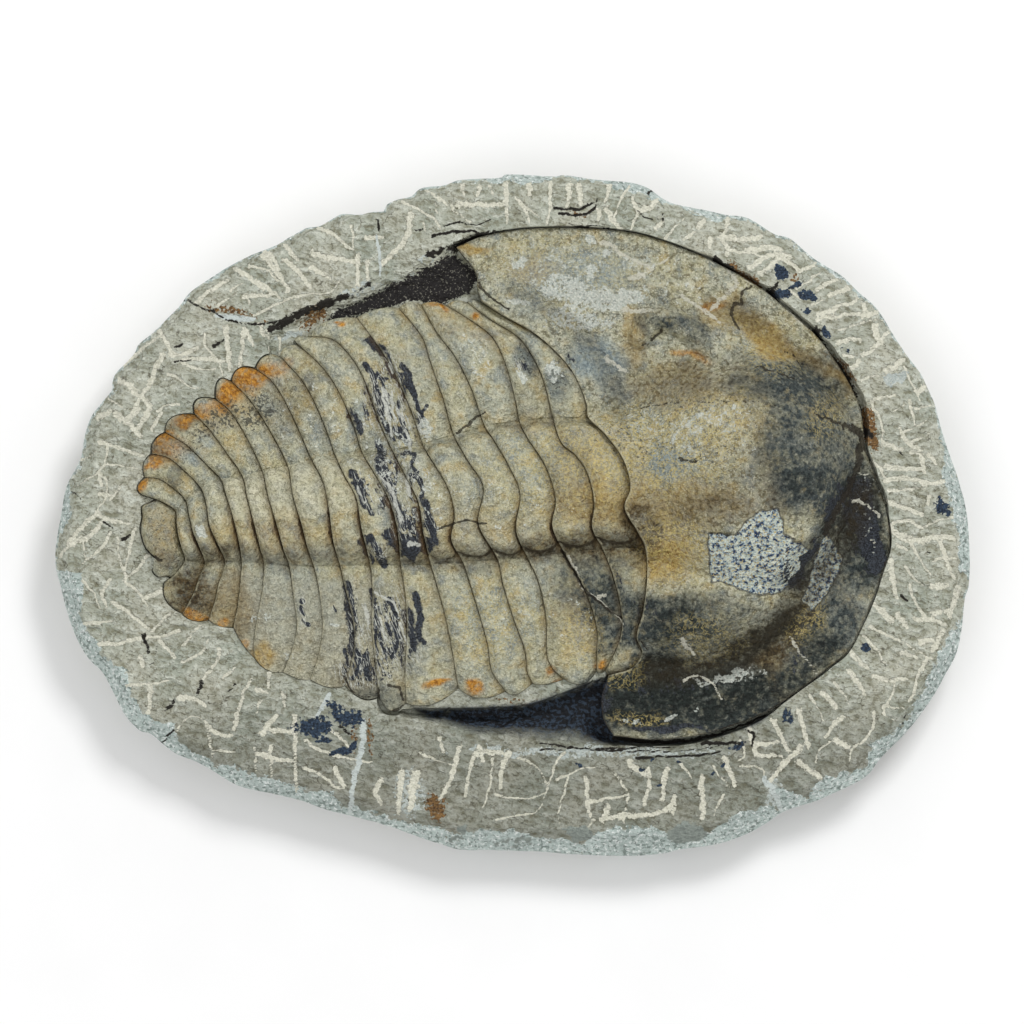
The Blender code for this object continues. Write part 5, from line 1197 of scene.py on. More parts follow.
def outline_at(degrees):
    """Points of the slab's outline in these directions from the origin."""
    curve = smooth_curve(SLAB_OUTLINE, 4, closed=True)
    turn = np.unwrap(np.arctan2(curve[:, 1], curve[:, 0]))
    radius = np.hypot(curve[:, 0], curve[:, 1])
    want = turn[0] + np.mod(np.radians(degrees) - turn[0], 2 * math.pi)
    reach = np.interp(want, np.append(turn, turn[0] + 2 * math.pi), np.append(radius, radius[0]))
    return np.stack([reach * np.cos(want), reach * np.sin(want)], axis=1)


def slab_rings(outline):
    """The slab's control rings, from its underside over its edge and top to the bed."""
    foot = outline + outwards(outline) * POCKET_GAP
    degrees = ray_angles(outline)
    edge = outline_at(degrees)
    way = edge - foot
    reach = np.linalg.norm(way, axis=1)
    way = way / reach[:, None]
    count = len(foot)
    ragged = 0.75 + 0.45 * value_noise(foot[:, 0], foot[:, 1], 4.0, 61)
    rim_start = by_angle(GAP_BY_ANGLE, degrees, 1) * ragged
    ledge_end = np.full(count, LEDGE_START)
    for cut in (TRENCH_OUTER, UPPER_CLEFT):
        hit = crossings(foot, edge, smooth_curve(cut, 5))
        rim_start = np.where(np.isfinite(hit), np.maximum(rim_start, hit), rim_start)
    rim_start = evened(rim_start, 3)
    hit = crossings(foot, edge, smooth_curve(TRENCH_LEDGE, 5))
    on_ledge = np.isfinite(hit) & (hit < rim_start - 2.0)
    ledge_end = evened(np.where(on_ledge, np.maximum(ledge_end, hit), ledge_end), 2)
    outer, filler_width, filler_drop, foot_inset = (by_angle(RIM_BY_ANGLE, degrees, k) for k in (1, 2, 3, 4))
    inner, floor = (by_angle(GROOVE_BY_ANGLE, degrees, k) for k in (1, 2))
    ledge = floor + (LEDGE_TOP - floor) * evened(on_ledge.astype(float), 2)

    def ring(distance, height, rough=0.0):
        plan = foot + way * np.asarray(distance).reshape(-1, 1)
        return np.column_stack([plan, height + rough * broken(plan[:, 0], plan[:, 1])])

    rim_end = reach - filler_width
    width = rim_end - rim_start
    inset = (foot_inset / np.linalg.norm(edge, axis=1))[:, None]
    bed = outline + outwards(outline) * BED_GAP
    return [
        np.column_stack([edge * (1 - inset), np.zeros(count)]),
        np.column_stack([edge * (1 - WALL_MIDDLE_SHARE * inset), np.full(count, WALL_MIDDLE)]),
        np.column_stack([edge, outer - filler_drop]),
        ring(rim_end, outer, CHIP),
        ring(rim_start + OUTER_RIM_SHARE * width, inner + OUTER_RIM_SHARE * (outer - inner), 2 * CHIP),
        ring(rim_start + INNER_RIM_SHARE * width, inner + INNER_RIM_SHARE * (outer - inner), 2 * CHIP),
        ring(rim_start, inner, CHIP),
        ring(np.maximum(0.55 * rim_start, ledge_end + LEDGE_BANK + 0.05), floor),
        ring(ledge_end + LEDGE_BANK, floor),
        ring(ledge_end, ledge),
        ring(np.zeros(count), ledge),
        np.column_stack([bed, np.full(count, BED_TOP)]),
    ]


def slab_points(outline):
    """All rings of the slab's mesh, with how much of the rock's relief each one takes."""
    control = slab_rings(outline)
    rings, takes = [control[0]], [0.0]
    relief_by_ring = (0.0, 1.0, 0.6, 0.6, 1.0, 1.0, 1.0, 0.6, 0.6, 0.25, 0.15, 0.0)
    for k, steps in enumerate(SLAB_STEPS):
        for s in range(1, steps + 1):
            t = s / steps
            rings.append(control[k] * (1 - t) + control[k + 1] * t)
            takes.append(relief_by_ring[k] * (1 - t) + relief_by_ring[k + 1] * t)
    return np.array(rings), np.array(takes)[:, None]


def rock_relief(x, y):
    """Height of the rock's broken top above its even form."""
    sheets = 1.5 * (flakes(x, y, 17.0, 4, 31) - 0.5) + 0.8 * (flakes(x, y, 7.0, 3, 37) - 0.5)
    return sheets + 0.45 * relief(x, y, 3.2, 3, 41)


def make_slab(outline):
    points, take = slab_points(outline)
    x, y, z = (points[..., k].copy() for k in range(3))
    wall = sum(SLAB_STEPS[:2])
    last = len(z) - SLAB_STEPS[-1]
    angle = np.arctan2(y, x)
    chipped = np.clip(relief(angle * 150.0, z * 1.7, 14.0, 4, 51), 0.0, 1.0)
    inward = np.zeros_like(z)
    inward[: wall + 4] = (0.9 * chipped * take)[: wall + 4]
    share = 1 - inward / np.hypot(x, y)
    rise = rock_relief(x, y) + rock_mark_relief(x, y)
    fade = np.ones_like(z)
    fade[: wall + 1] = 0.0
    fade[wall + 1 : wall + 4] = np.array([0.3, 0.6, 0.85])[:, None]
    fade[last:] = 0.0
    z = z + rise * take * fade
    obj = ringed_mesh("matrix_rock", np.dstack([x * share, y * share, z]))
    inwards = np.hypot(x - x[wall], y - y[wall])
    inwards[:wall] = 0.6 * (points[wall, :, 2] - points[:wall, :, 2])
    reach = by_angle(FILLER_BY_ANGLE, np.degrees(angle), 1)
    store(obj, "filler", np.clip((reach - inwards) / 1.4, -2.0, 1.0))
    return obj


# Meshes


def new_mesh(name, points, faces):
    """Makes an object from points in millimetres, kept inside the part's own box."""
    lowest, highest = PART_BOX
    points = np.clip(points, lowest + BOX_MARGIN, highest - BOX_MARGIN) * MM
    mesh = bpy.data.meshes.new(name)
    mesh.from_pydata(points.tolist(), [], faces)
    mesh.validate()
    mesh.shade_smooth()
    mesh.set_sharp_from_angle(angle=math.radians(SHARP_ANGLE))
    obj = bpy.data.objects.new(name, mesh)
    bpy.context.scene.collection.objects.link(obj)
    return obj


def store(obj, name, values):
    """Keeps one number for each point of the mesh under this name."""
    layer = obj.data.attributes.new(name, "FLOAT", "POINT")
    layer.data.foreach_set("value", np.asarray(values, np.float32).ravel())


def quads(index):
    """Faces between the rows and columns of a grid of point numbers."""
    a, b, c, d = index[:-1, :-1], index[:-1, 1:], index[1:, 1:], index[1:, :-1]
    return np.stack([a.ravel(), b.ravel(), c.ravel(), d.ravel()], axis=1)


def store_even(obj, **marks):
    """Keeps the same number for all points of the mesh under each name."""
    for name, value in marks.items():
        store(obj, name, np.full(len(obj.data.vertices), value))


def rim_of(grid):
    """The entries round the edge of a grid, each once."""
    return np.concatenate([grid[0, :-1], grid[:-1, -1], grid[-1, :0:-1], grid[:0:-1, 0]])


def plate_rim(values):
    """A plate's values, with those of the upright edge's foot after them."""
    return np.concatenate([values.ravel(), rim_of(values)])


def plate_mesh(name, plan, height, edge):
    """A closed plate: its top as a grid, upright edges, and a flat underside."""
    rows, columns = height.shape
    top = np.dstack([plan, height]).reshape(-1, 3)
    index = np.arange(rows * columns).reshape(rows, columns)
    around = rim_of(index)
    low = top[around].copy()
    low[:, 2] = PLATE_UNDERSIDE
    under = len(top) + np.arange(len(around))
    walls = quads(np.stack([np.append(under, under[0]), np.append(around, around[0])]))
    front, right = under[:columns], under[columns - 1 : columns + rows - 1]
    back = under[columns + rows - 2 : 2 * columns + rows - 2][::-1]
    left = np.append(under[2 * columns + rows - 3 :], under[0])
    bottom = quads(np.stack([back, front]))
    faces = quads(index)[:, ::-1].tolist() + walls.tolist() + bottom.tolist()
    faces += [left.tolist(), right.tolist()]
    obj = new_mesh(name, np.vstack([top, low]), faces)
    store(obj, "edge", np.concatenate([edge.ravel(), np.zeros(len(around))]))
    return obj


def ringed_mesh(name, rings):
    """A closed body drawn up through rings of points, from its underside to its top."""
    count, stations = rings.shape[:2]
    index = np.arange(count * stations).reshape(count, stations)
    closed = np.hstack([index, index[:, :1]])
    faces = quads(closed).tolist() + [index[0, ::-1].tolist(), index[-1].tolist()]
    return new_mesh(name, rings.reshape(-1, 3), faces)


def face_outwards(obj):
    """Turns the mesh's faces to point out."""
    builder = bmesh.new()
    builder.from_mesh(obj.data)
    bmesh.ops.recalc_face_normals(builder, faces=builder.faces[:])
    builder.to_mesh(obj.data)
    builder.free()


# Marks


def pairs(numbers):
    return np.array(numbers, float).reshape(-1, 2)


def paint_lines(x, y, lines, half_width, lowest=-2.0):
    """1 on the lines, 0 at their sides, and less than 0 outside them. The lines taper to their ends."""
    level = np.full(x.size, lowest)
    flat_x, flat_y = x.ravel(), y.ravel()
    for numbers in lines:
        line = smooth_curve(pairs(numbers), 3)
        reach = (1 - lowest) * half_width
        low, high = line.min(axis=0) - reach, line.max(axis=0) + reach
        inside = (flat_x > low[0]) & (flat_x < high[0]) & (flat_y > low[1]) & (flat_y < high[1])
        near = np.nonzero(inside)[0]
        if not len(near):
            continue
        px, py, best = flat_x[near], flat_y[near], np.full(len(near), lowest)
        done = path_length(line) / path_length(line)[-1]
        own = half_width * (0.7 + 0.4 * math.sin(7.0 * line[0, 0] + 3.0))
        for k in range(len(line) - 1):
            distance, t = to_stretch(px, py, line[k], line[k + 1], 1e-9)
            place = done[k] + t * (done[k + 1] - done[k])
            width = own + 0.35 * half_width * (1 - place)
            best = np.maximum(best, 1 - distance / width)
        level[near] = np.maximum(level[near], best)
    return level.reshape(x.shape)


def paint_area(x, y, numbers, softness):
    """Distance inside an outline, over its softness: 1 well inside, 0 on it, -2 outside."""
    outline = pairs(numbers)
    inside = np.zeros(x.shape, bool)
    best = np.full(x.shape, FAR)
    for start, end in zip(outline, np.roll(outline, -1, axis=0)):
        best = np.minimum(best, to_stretch(x, y, start, end)[0])
        dx, dy = end - start
        if dy != 0:
            inside ^= ((start[1] > y) != (end[1] > y)) & (x < start[0] + (y - start[1]) / dy * dx)
    return np.clip(np.where(inside, best, -best) / softness, -2.0, 1.0)


def paint_spots(x, y, spots):
    """How much soft oval stains cover each point, from 0 to 1."""
    cover = np.zeros(x.shape)
    for at_x, at_y, half_length, half_width, turn, strength in spots:
        c, s = math.cos(math.radians(turn)), math.sin(math.radians(turn))
        u = ((x - at_x) * c + (y - at_y) * s) / half_length
        v = ((y - at_y) * c - (x - at_x) * s) / half_width
        cover = 1 - (1 - cover) * (1 - strength * smooth_step(1.5 - np.hypot(u, v)))
    return cover


def moved(x, y, amount, size, seed):
    """The places pushed about a little, so that what is drawn at them gets uneven edges."""
    return x + amount * value_noise(x, y, size, seed), y + amount * value_noise(x, y, size, seed + 1)


def level_of(x, y, *groups):
    """The highest level of several groups of lines, each group with its own half width."""
    return np.maximum.reduce([paint_lines(x, y, lines, half_width) for lines, half_width in groups])


def stroke_level(x, y):
    thin = [stroke for group in STROKE_GROUPS for stroke in group]
    return level_of(x, y, (thin, STROKE_HALF_WIDTH), (WIDE_STROKES, WIDE_HALF_WIDTH))


def granite_level(x, y):
    return np.maximum(*[paint_area(x, y, patch, GRANITE_SOFTNESS) for patch in GRANITE])


def shell_crack_level(x, y):
    return level_of(x, y, (SHELL_CRACKS, SHELL_CRACK_HALF_WIDTH), (THICK_CRACKS, THICK_CRACK_HALF_WIDTH))


def rock_crack_and_gap_shadow_level(x, y):
    return level_of(x, y, (ROCK_CRACKS, ROCK_CRACK_HALF_WIDTH), (ROCK_GAP_SHADOWS, ROCK_GAP_SHADOW_HALF_WIDTH))


def shell_mark_relief(x, y):
    sunk = 0.4 * smooth_step(granite_level(x, y) + 0.5)
    return -sunk - 0.4 * smooth_step(shell_crack_level(x, y))


def rock_mark_relief(x, y):
    return -0.3 * smooth_step(stroke_level(x, y)) - 0.5 * smooth_step(rock_crack_and_gap_shadow_level(x, y))


# Stone materials


def linear(red, green, blue):
    """A display colour, 0 to 255, as the linear colour that a shader takes."""
    shares = [((c / 255 + 0.055) / 1.055) ** 2.4 if c > 10 else c / 3294.6 for c in (red, green, blue)]
    return (*shares, 1.0)


class Paint:
    """Builds one stone's shader in layers. Sizes are in millimetres, colours as displayed, 0 to 255."""

    def __init__(self, name):
        self.colour = None
        self.material = bpy.data.materials.new(name)
        self.material.use_nodes = True
        self.nodes, self.links = self.material.node_tree.nodes, self.material.node_tree.links
        self.shader = self.nodes["Principled BSDF"]
        scale = self.nodes.new("ShaderNodeVectorMath")
        scale.operation = "SCALE"
        scale.inputs["Scale"].default_value = 1 / MM
        self.links.new(self.nodes.new("ShaderNodeTexCoord").outputs["Object"], scale.inputs[0])
        self.place = scale.outputs[0]

    def add_grains(self, fine, second_small, wide, seed):
        """The grains that a stone's layers share, in millimetres. The second of a kind lies elsewhere."""
        self.fine, self.small = self.grain(fine, seed, detail=1.0), self.grain(1.2, seed + 1)
        self.middle, self.wide = self.grain(3.4, seed + 2, detail=3.0), self.grain(wide, seed + 3, detail=1.0)
        self.fine2, self.small2 = self.grain(0.7, seed + 4, detail=1.0), self.grain(second_small, seed + 5)

    def plug(self, value, socket):
        """Sets a socket to a number or a display colour, or links another node's result to it."""
        if isinstance(value, tuple):
            socket.default_value = linear(*value)
        elif isinstance(value, (int, float)):
            socket.default_value = value
        else:
            self.links.new(value, socket)

    def attribute(self, name):
        node = self.nodes.new("ShaderNodeAttribute")
        node.attribute_name = name
        return node.outputs["Fac"]

    def sum(self, a, b, c=None):
        """a plus b, or a times b plus c."""
        node = self.nodes.new("ShaderNodeMath")
        node.operation = "ADD" if c is None else "MULTIPLY_ADD"
        for value, socket in zip((a, b, c), node.inputs):
            if value is not None:
                self.plug(value, socket)
        return node.outputs[0]

    def math(self, operation, a, b):
        node = self.nodes.new("ShaderNodeMath")
        node.operation = operation
        self.plug(a, node.inputs[0])
        self.plug(b, node.inputs[1])
        return node.outputs[0]

    def times(self, a, b):
        return self.math("MULTIPLY", a, b)

    def blend(self, a, b, share):
        """Two grains in one: this share of a, and the rest of b."""
        return self.sum(self.times(a, share), self.times(b, 1 - share))

    def thread(self, grain, outer, inner):
        """1 on thin winding threads, where the grain is nearly in the middle of its range."""
        return self.ramp(self.math("ABSOLUTE", self.sum(grain, -0.5), 0.0), outer, inner)

    def turned(self, size, stretch, turn, seed):
        node = self.nodes.new("ShaderNodeMapping")
        node.vector_type = "TEXTURE"
        node.inputs["Location"].default_value = (37.0 * seed, 11.0 * seed, 5.0 * seed)
        node.inputs["Rotation"].default_value = (0.0, 0.0, math.radians(turn))
        node.inputs["Scale"].default_value = (size * stretch, size, size)
        self.links.new(self.place, node.inputs["Vector"])
        return node.outputs["Vector"]

    def grain(self, size, seed, detail=2.0, stretch=1.0, turn=0.0, low=0.32, high=0.68):
        """Noise spread out to fill 0 to 1, with grains of this size."""
        node = self.nodes.new("ShaderNodeTexNoise")
        node.inputs["Scale"].default_value = 1.0
        node.inputs["Detail"].default_value = detail
        node.inputs["Roughness"].default_value = 0.6
        self.links.new(self.turned(size, stretch, turn, seed), node.inputs["Vector"])
        return self.ramp(node.outputs["Fac"], low, high)

    def ramp(self, value, low, high, smooth=False):
        node = self.nodes.new("ShaderNodeMapRange")
        node.interpolation_type = "SMOOTHSTEP" if smooth else "LINEAR"
        node.inputs["From Min"].default_value = low
        node.inputs["From Max"].default_value = high
        self.plug(value, node.inputs["Value"])
        return node.outputs["Result"]

    def cover(self, share, grain, soft=0.1):
        """1 where a stain lies: none of the grains at a share of 0, all of them at 1."""
        level = self.sum(grain, 0.95, self.sum(share, 1.3, -1.13))
        return self.ramp(level, -soft, soft, smooth=True)

    def within(self, level, grain, rough=0.6, soft=0.15):
        """1 inside a mark whose edge is at level 0, its edge roughened by the grain."""
        uneven = self.sum(self.sum(grain, -0.5), rough, level)
        return self.ramp(uneven, -soft, soft, smooth=True)

    def mix(self, share, under, over):
        node = self.nodes.new("ShaderNodeMix")
        node.data_type = "RGBA"
        self.plug(share, node.inputs[0])
        self.plug(under, node.inputs[6])
        self.plug(over, node.inputs[7])
        return node.outputs[2]

    def lay(self, share, tone, amount=None):
        """Lays a tone over the stone where the share is 1, no denser than the amount."""
        self.colour = self.mix(share if amount is None else self.times(share, amount), self.colour, tone)

    def mark(self, name, grain, rough, soft, tone, amount=None):
        """Lays a tone inside the marks of this name. Gives back where they are."""
        inside = self.within(self.attribute(name), grain, rough, soft)
        self.lay(inside, tone, amount)
        return inside

    def shade(self, colour, grain, amount):
        """The colour made lighter and darker by the grain, between 1 - amount and 1 + amount."""
        factor = self.sum(grain, 2 * amount, 1 - amount)
        node = self.nodes.new("ShaderNodeVectorMath")
        node.operation = "SCALE"
        self.plug(colour, node.inputs[0])
        self.plug(factor, node.inputs["Scale"])
        return node.outputs[0]

    def finish(self, height, strength, rough_low, rough_high, grain):
        """Ends the shader with its roughness, from low to high with the grain, and its fine relief."""
        self.links.new(self.colour, self.shader.inputs["Base Color"])
        self.links.new(self.sum(grain, rough_high - rough_low, rough_low), self.shader.inputs["Roughness"])
        self.shader.inputs["Specular IOR Level"].default_value = 0.3
        bump = self.nodes.new("ShaderNodeBump")
        bump.inputs["Strength"].default_value = strength
        bump.inputs["Distance"].default_value = MM
        self.links.new(height, bump.inputs["Height"])
        self.links.new(bump.outputs["Normal"], self.shader.inputs["Normal"])
        return self.material


def lay_shell_grain(p, grit):
    """The plates' ground: soft patches, worn and pale parts, then fine pale and dark grains."""
    p.colour = p.mix(p.wide, (164, 167, 150), (178, 173, 138))
    p.lay(p.ramp(p.middle, 0.5, 1.0), (202, 200, 176), grit)
    p.lay(p.ramp(p.middle, 0.42, 0.0), (122, 120, 96), 0.8 * grit)
    patch = p.grain(6.0, 10)
    p.lay(p.ramp(patch, 0.55, 1.0), (128, 136, 134), 0.75)
    p.lay(p.ramp(patch, 0.4, 0.0), (172, 154, 106), 0.7)
    p.lay(p.attribute("worn"), p.mix(p.middle, (146, 142, 122), (172, 170, 150)), 0.75)
    p.lay(p.attribute("block"), p.mix(p.middle, (180, 178, 150), (212, 208, 182)), 0.6)
    p.colour = p.shade(p.shade(p.colour, p.fine, 0.08 * grit), p.small, 0.11 * grit)
    p.lay(p.cover(0.33, p.fine2), (212, 208, 184), 0.7 * grit)
    p.lay(p.cover(0.35, p.small2), (98, 92, 66), 0.65 * grit)


def lay_shell_stains(p, cloud):
    """The soft stains, denser where the cloud is high, the dark stipple and golden threads."""
    for stain, (dark, light) in STAIN_TONES.items():
        share = p.times(p.attribute(stain), p.sum(cloud, 1.3, 0.35))
        p.lay(p.ramp(share, 0.0, 1.0), p.mix(p.small, dark, light))
    p.lay(p.cover(p.times(p.attribute("stipple"), 0.5), p.small, 0.12), (62, 64, 58), 0.85)
    golden = p.times(p.attribute("gold"), p.thread(p.grain(2.0, 8), 0.16, 0.02))
    p.lay(p.ramp(p.times(golden, p.sum(p.small, 0.8)), 0.0, 1.6), (196, 178, 112))


def lay_granite(p):
    """The granular patches: pale ground with grey-blue, navy and tan flecks, and a dark ring round them."""
    clump = p.blend(p.small, p.small2, 0.55)
    flecks = p.mix(p.middle, (188, 200, 190), (222, 226, 210))
    flecks = p.mix(p.cover(0.50, clump, 0.16), flecks, (118, 140, 158))
    flecks = p.mix(p.cover(0.40, clump), flecks, (38, 56, 84))
    flecks = p.mix(p.cover(0.30, p.fine2), flecks, (186, 172, 128))
    p.mark("granite", p.small2, 0.5, 0.2, flecks)
    ring = p.sum(p.math("ABSOLUTE", p.attribute("granite"), 0.0), -1.0, 0.3)
    p.lay(p.within(ring, p.small2, 0.3, 0.2), (56, 54, 46), 0.7)


def lay_dark_band(p, streak):
    """The dark mineral with its strands, the pale fibres in it, and the chalky parts."""
    speck = p.blend(streak, p.small, 0.6)
    night = p.cover(p.attribute("night"), speck, 0.1)
    strands = p.within(p.attribute("strand"), speck, 1.2, 0.25)
    p.lay(p.math("MAXIMUM", night, strands), p.mix(p.fine, (20, 21, 24), (62, 68, 76)))
    fibre = p.thread(p.grain(1.6, 9, stretch=8.0, turn=BAND_TURN), 0.08, 0.02)
    fibre = p.times(fibre, p.ramp(p.attribute("night"), 0.08, 0.3))
    p.lay(fibre, (188, 190, 180), p.attribute("band"))
    chalk = p.cover(p.times(p.attribute("chalk"), 0.85), p.blend(p.middle, p.small, 0.45), 0.1)
    p.lay(chalk, p.mix(p.fine2, (176, 184, 176), (214, 216, 206)), 0.85)


def lay_seam_lines_and_painted_light(p, cloud):
    """Painted rib shading, painted shade in the hollows and painted shadow in front of the seams,
    a painted highlight on the rear edge, and a dark line in the seam, widened by painted shadow.
    """
    # Painted light and shade across each rib: lighter in its middle, darker towards its seams
    p.colour = p.shade(p.colour, p.attribute("rib"), 0.14)
    # Painted shade, dark brown, in the troughs and hollows
    p.lay(p.times(p.attribute("painted_shade"), p.sum(cloud, 1.0, 0.3)), (44, 37, 20), 0.85)
    deep = p.times(p.attribute("deep"), p.sum(p.wide, 0.5, 0.6))
    kept = p.sum(p.attribute("worn"), -0.85, 1.0)
    # Painted shadow in front of each seam, on the plate behind it
    painted_seam_shadow = p.ramp(p.sum(cloud, 1.6, p.attribute("front")), 3.6, 0.6)
    painted_seam_shadow = p.times(p.times(painted_seam_shadow, p.sum(deep, 0.6, 0.4)), kept)
    p.lay(painted_seam_shadow, p.mix(p.wide, (88, 74, 42), (120, 92, 48)))
    # Painted highlight along each plate's rear edge
    painted_highlight = p.ramp(p.sum(p.small2, 0.8, p.attribute("rear")), 1.2, 0.4)
    p.lay(painted_highlight, (208, 202, 170), p.sum(p.middle, 0.5, 0.25))
    # Dark line in the seam, widened into painted shadow where the seam shadow is strong
    line = p.ramp(p.sum(p.small2, 0.5, p.sum(deep, -0.9, p.attribute("edge"))), 0.6, 0.25)
    share = p.times(p.sum(deep, 0.6, p.sum(p.middle, 0.7, -0.05)), kept)
    p.lay(p.ramp(p.times(line, share), 0.0, 1.0), (54, 40, 20))


def shell_stone(name, grit):
    """The plates' mineral: warm grey-tan with stains of ochre, brown and slate, fine dark grains,
    and painted shade, shadow and highlights at the seams and hollows.
    """
    p = Paint(name)
    p.add_grains(fine=0.6, second_small=1.6, wide=12.0, seed=1)
    cloud = p.blend(p.middle, p.small2, 0.6)
    streak = p.grain(1.8, 7, detail=3.0, stretch=5.5, turn=BAND_TURN)
    lay_shell_grain(p, grit)
    lay_shell_stains(p, cloud)
    lay_granite(p)
    lay_dark_band(p, streak)
    lay_seam_lines_and_painted_light(p, cloud)
    # Painted shadow line along the lower edge of each ring's lobe
    p.mark("arc", p.small2, 0.8, 0.3, (48, 38, 22), 0.75)
    p.mark("pale_strand", streak, 1.4, 0.3, (206, 208, 198), 0.8)
    p.mark("streak", p.small, 1.4, 0.3, (204, 202, 186), 0.8)
    cracks = p.mark("crack", p.small2, 1.2, 0.2, (44, 38, 28), 0.85)
    height = p.sum(p.fine, 0.2, p.sum(p.small, 0.4, p.times(p.middle, 0.8)))
    return p.finish(p.sum(cracks, -0.4, height), 1.2, 0.5, 0.75, p.small2)


def lay_rock_grain(p, flake):
    """The rock's ground: pale and dark flakes, fine grains, rifts, painted shade towards its lower edge,
    and its rust and pale stains.
    """
    p.colour = p.mix(p.wide, (160, 166, 152), (182, 182, 166))
    p.lay(p.ramp(flake, 0.5, 1.0), (200, 203, 190))
    p.lay(p.ramp(flake, 0.42, 0.0), (128, 128, 108), 0.9)
    p.colour = p.shade(p.shade(p.colour, p.fine, 0.06), p.small, 0.08)
    p.lay(p.cover(0.34, p.small2), (116, 112, 90), 0.55)
    rift = p.thread(p.grain(8.0, 28, detail=3.0, stretch=1.6, turn=-10.0), 0.035, 0.008)
    p.lay(p.times(rift, p.ramp(p.middle, 0.45, 0.7)), (78, 74, 58), 0.75)
    # Painted shade: the rock darker towards its lower edge
    p.colour = p.shade(p.colour, p.sum(p.attribute("low"), -1.0, 0.5), 0.17)
    p.lay(p.cover(p.attribute("rust"), p.small, 0.12), p.mix(p.fine, (74, 54, 36), (140, 108, 66)))
    p.lay(p.cover(p.attribute("pale"), p.small2, 0.12), p.mix(p.fine, (166, 176, 172), (196, 202, 196)))


def lay_filler(p):
    """The pale filler along the rim, and the cement beside the fossil."""
    filler = p.within(p.attribute("filler"), p.blend(p.middle, p.small2, 0.7), 2.4, 0.15)
    putty = p.shade(p.mix(p.small, (168, 182, 176), (198, 208, 204)), p.wide, 0.08)
    putty = p.mix(p.cover(0.36, p.small2), putty, (132, 144, 138))
    putty = p.mix(p.cover(0.30, p.small), putty, (222, 228, 224))
    p.lay(filler, p.shade(putty, p.middle, 0.08))
    cement = p.within(p.sum(p.attribute("cement"), 2.0, -1.0), p.middle, 1.2, 0.2)
    p.lay(cement, p.mix(p.small, (120, 128, 122), (150, 158, 150)))


def rock():
    """The slab's flaky grey-green rock, with chisel strokes, stains, cracks and pale filler, and painted
    shadow in the trench and in the gaps beside the fossil.
    """
    p = Paint("matrix_rock")
    p.add_grains(fine=0.7, second_small=1.5, wide=22.0, seed=21)
    flake = p.grain(2.4, 27, detail=3.0, stretch=1.9, turn=-12.0)
    lay_rock_grain(p, flake)
    lay_filler(p)
    cream = p.mix(p.fine, (204, 203, 184), (230, 228, 212))
    strokes = p.mark("stroke", p.small, 0.9, 0.14, cream, 0.92)
    p.mark("vein", p.small, 0.8, 0.2, (196, 204, 200))
    p.lay(p.cover(p.attribute("navy"), p.small2, 0.12), p.mix(p.fine, (24, 30, 40), (58, 76, 96)))
    # Painted shadow on the floor of the trench along the fossil's lower side
    p.lay(p.attribute("trench_shadow"), p.mix(p.cover(0.45, p.small2), (30, 32, 36), (54, 66, 80)))
    p.mark("crystal", p.small, 1.2, 0.2, p.mix(p.cover(0.22, p.fine2), (34, 32, 32), (112, 110, 100)))
    # Dark cracks, and painted shadow in the gaps between rock and fossil
    p.mark("crack", p.small2, 1.1, 0.25, (36, 33, 28))
    height = p.sum(flake, 0.9, p.sum(p.small, 0.25, p.times(p.middle, 0.5)))
    return p.finish(p.sum(strokes, -0.3, height), 1.1, 0.65, 0.9, p.small)


def paint_shell(obj, material):
    x, y = plan_of(obj)
    around = moved(*moved(x, y, 3.0, 9.0, 71), 1.3, 3.2, 73)
    for stain, spots in SHELL_STAINS.items():
        cover = paint_spots(*around, spots)
        if stain == "slate":
            blotch = 0.12 * smooth_step(0.5 + 0.5 * paint_area(*around, SLATE_BLOTCH, 2.0))
            cover = np.maximum(cover, blotch)
        store(obj, stain, cover)
    store(obj, "band", smooth_step((BAND_START - x) / BAND_FADE))
    near = moved(x, y, 0.6, 2.4, 75)
    store(obj, "granite", granite_level(*near))
    store(obj, "crack", shell_crack_level(*near))
    store(obj, "streak", paint_lines(*near, SHELL_STREAKS, SHELL_STREAK_HALF_WIDTH))
    strands = paint_lines(*near, STRANDS, STRAND_HALF_WIDTH)
    store(obj, "strand", np.maximum(strands, paint_area(*near, BLACK_LUMP, 1.0)))
    store(obj, "pale_strand", paint_lines(*near, PALE_STRANDS, PALE_STRAND_HALF_WIDTH))
    obj.data.materials.append(material)


def paint_rock(obj, material):
    x, y = plan_of(obj)
    around = moved(*moved(x, y, 1.6, 6.0, 81), 0.8, 2.6, 83)
    for stain, spots in ROCK_STAINS.items():
        store(obj, stain, paint_spots(*around, spots))
    store(obj, "cement", paint_spots(*around, CEMENT))
    store(obj, "low", smooth_step((LOW_START - y) / LOW_FADE))
    near = moved(x, y, 0.45, 2.4, 85)
    store(obj, "stroke", stroke_level(*near))
    store(obj, "vein", paint_lines(*near, ROCK_VEINS, VEIN_HALF_WIDTH))
    store(obj, "crack", rock_crack_and_gap_shadow_level(*near))
    store(obj, "crystal", paint_area(*near, BLACK_CRYSTALS, 1.5))
    store(obj, "trench_shadow", smooth_step(0.5 + 0.5 * paint_area(*near, TRENCH_FLOOR, 1.0)))
    obj.data.materials.append(material)


def plan_of(obj):
    places = np.zeros(len(obj.data.vertices) * 3)
    obj.data.vertices.foreach_get("co", places)
    places = places.reshape(-1, 3) / MM
    return places[:, 0], places[:, 1]


# The studio


def floor_material():
    p = Paint("floor")
    grain = p.grain(60.0, 31)
    p.colour = p.mix(grain, (246, 246, 246), (249, 249, 249))
    return p.finish(grain, 0.0, 0.9, 0.95, grain)


def make_floor():
    bpy.ops.mesh.primitive_plane_add(size=6.0, location=(0, 0, -0.0002))
    floor = bpy.context.object
    floor.name = "floor"
    floor.data.materials.append(floor_material())
    return floor


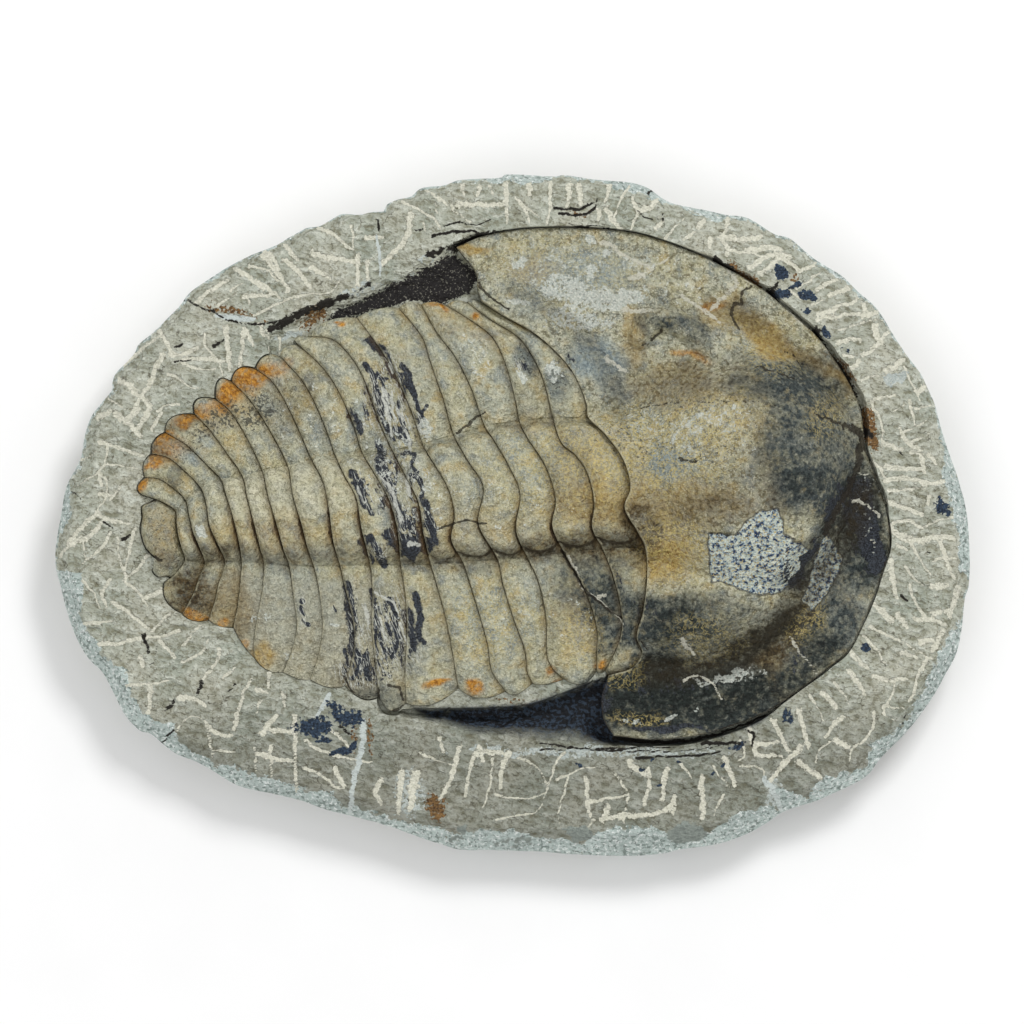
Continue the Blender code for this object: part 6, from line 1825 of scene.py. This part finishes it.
def area_light(name, place, size, power):
    light = bpy.data.lights.new(name, "AREA")
    light.shape = "SQUARE"
    light.size = size
    light.energy = power
    obj = bpy.data.objects.new(name, light)
    obj.location = place
    obj.rotation_euler = (-Vector(place)).to_track_quat("-Z", "Y").to_euler()
    bpy.context.scene.collection.objects.link(obj)


def make_studio():
    scene = bpy.context.scene
    scene.view_settings.view_transform = "Standard"
    world = bpy.data.worlds.new("studio")
    world.use_nodes = True
    world.node_tree.nodes["Background"].inputs["Color"].default_value = (1.0, 1.0, 1.0, 1.0)
    world.node_tree.nodes["Background"].inputs["Strength"].default_value = WORLD_LIGHT
    scene.world = world
    area_light("key", KEY_PLACE, KEY_SIZE, KEY_POWER)
    area_light("fill", FILL_PLACE, FILL_SIZE, FILL_POWER)


def make_camera():
    """The photograph's view: almost straight down, from a little below the middle of the picture."""
    camera = bpy.data.cameras.new("camera")
    camera.lens = LENS
    camera.sensor_width = SENSOR_WIDTH
    distance = VIEW_WIDTH * LENS / SENSOR_WIDTH
    tilt = math.radians(VIEW_ELEVATION)
    target = Vector(VIEW_TARGET)
    obj = bpy.data.objects.new("camera", camera)
    obj.location = target + distance * Vector((0.0, -math.cos(tilt), math.sin(tilt)))
    obj.rotation_euler = (math.radians(90.0 - VIEW_ELEVATION), 0.0, 0.0)
    camera.clip_end = CLIP_END
    bpy.context.scene.collection.objects.link(obj)
    bpy.context.scene.camera = obj


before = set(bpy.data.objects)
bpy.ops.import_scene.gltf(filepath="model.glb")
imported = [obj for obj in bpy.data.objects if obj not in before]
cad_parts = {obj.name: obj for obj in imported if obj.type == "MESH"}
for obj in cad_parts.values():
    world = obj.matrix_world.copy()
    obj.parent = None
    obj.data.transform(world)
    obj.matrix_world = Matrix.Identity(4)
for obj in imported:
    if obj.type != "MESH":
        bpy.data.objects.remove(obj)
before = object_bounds()
PART_BOX = (np.array(before[0]) / MM, np.array(before[1]) / MM)

head, head_points = make_head()
segments = [make_segment(number) for number in range(1, len(SEAMS))]
tail, free_tail = make_tail()
slab = make_slab(fossil_outline(head_points, [plan for _, plan in segments], free_tail))

head_stone = shell_stone("head_stone", HEAD_GRIT)
pieces = [(head, "cephalon", "head_shield", paint_shell, head_stone)]
thorax_stone = shell_stone("thorax_stone", THORAX_GRIT)
for number, (segment, _) in enumerate(segments, 1):
    pieces.append((segment, f"thoracic_segment_{number:02d}", "thorax", paint_shell, thorax_stone))
pieces.append((tail, "pygidium", "tail_plate", paint_shell, shell_stone("tail_stone", THORAX_GRIT)))
pieces.append((slab, "matrix_slab", "matrix", paint_rock, rock()))
for obj, node, slot_name, paint, material in pieces:
    paint(obj, material)
    face_outwards(obj)
    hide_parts(node)
    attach(obj, "root")

make_floor()
make_studio()
make_camera()
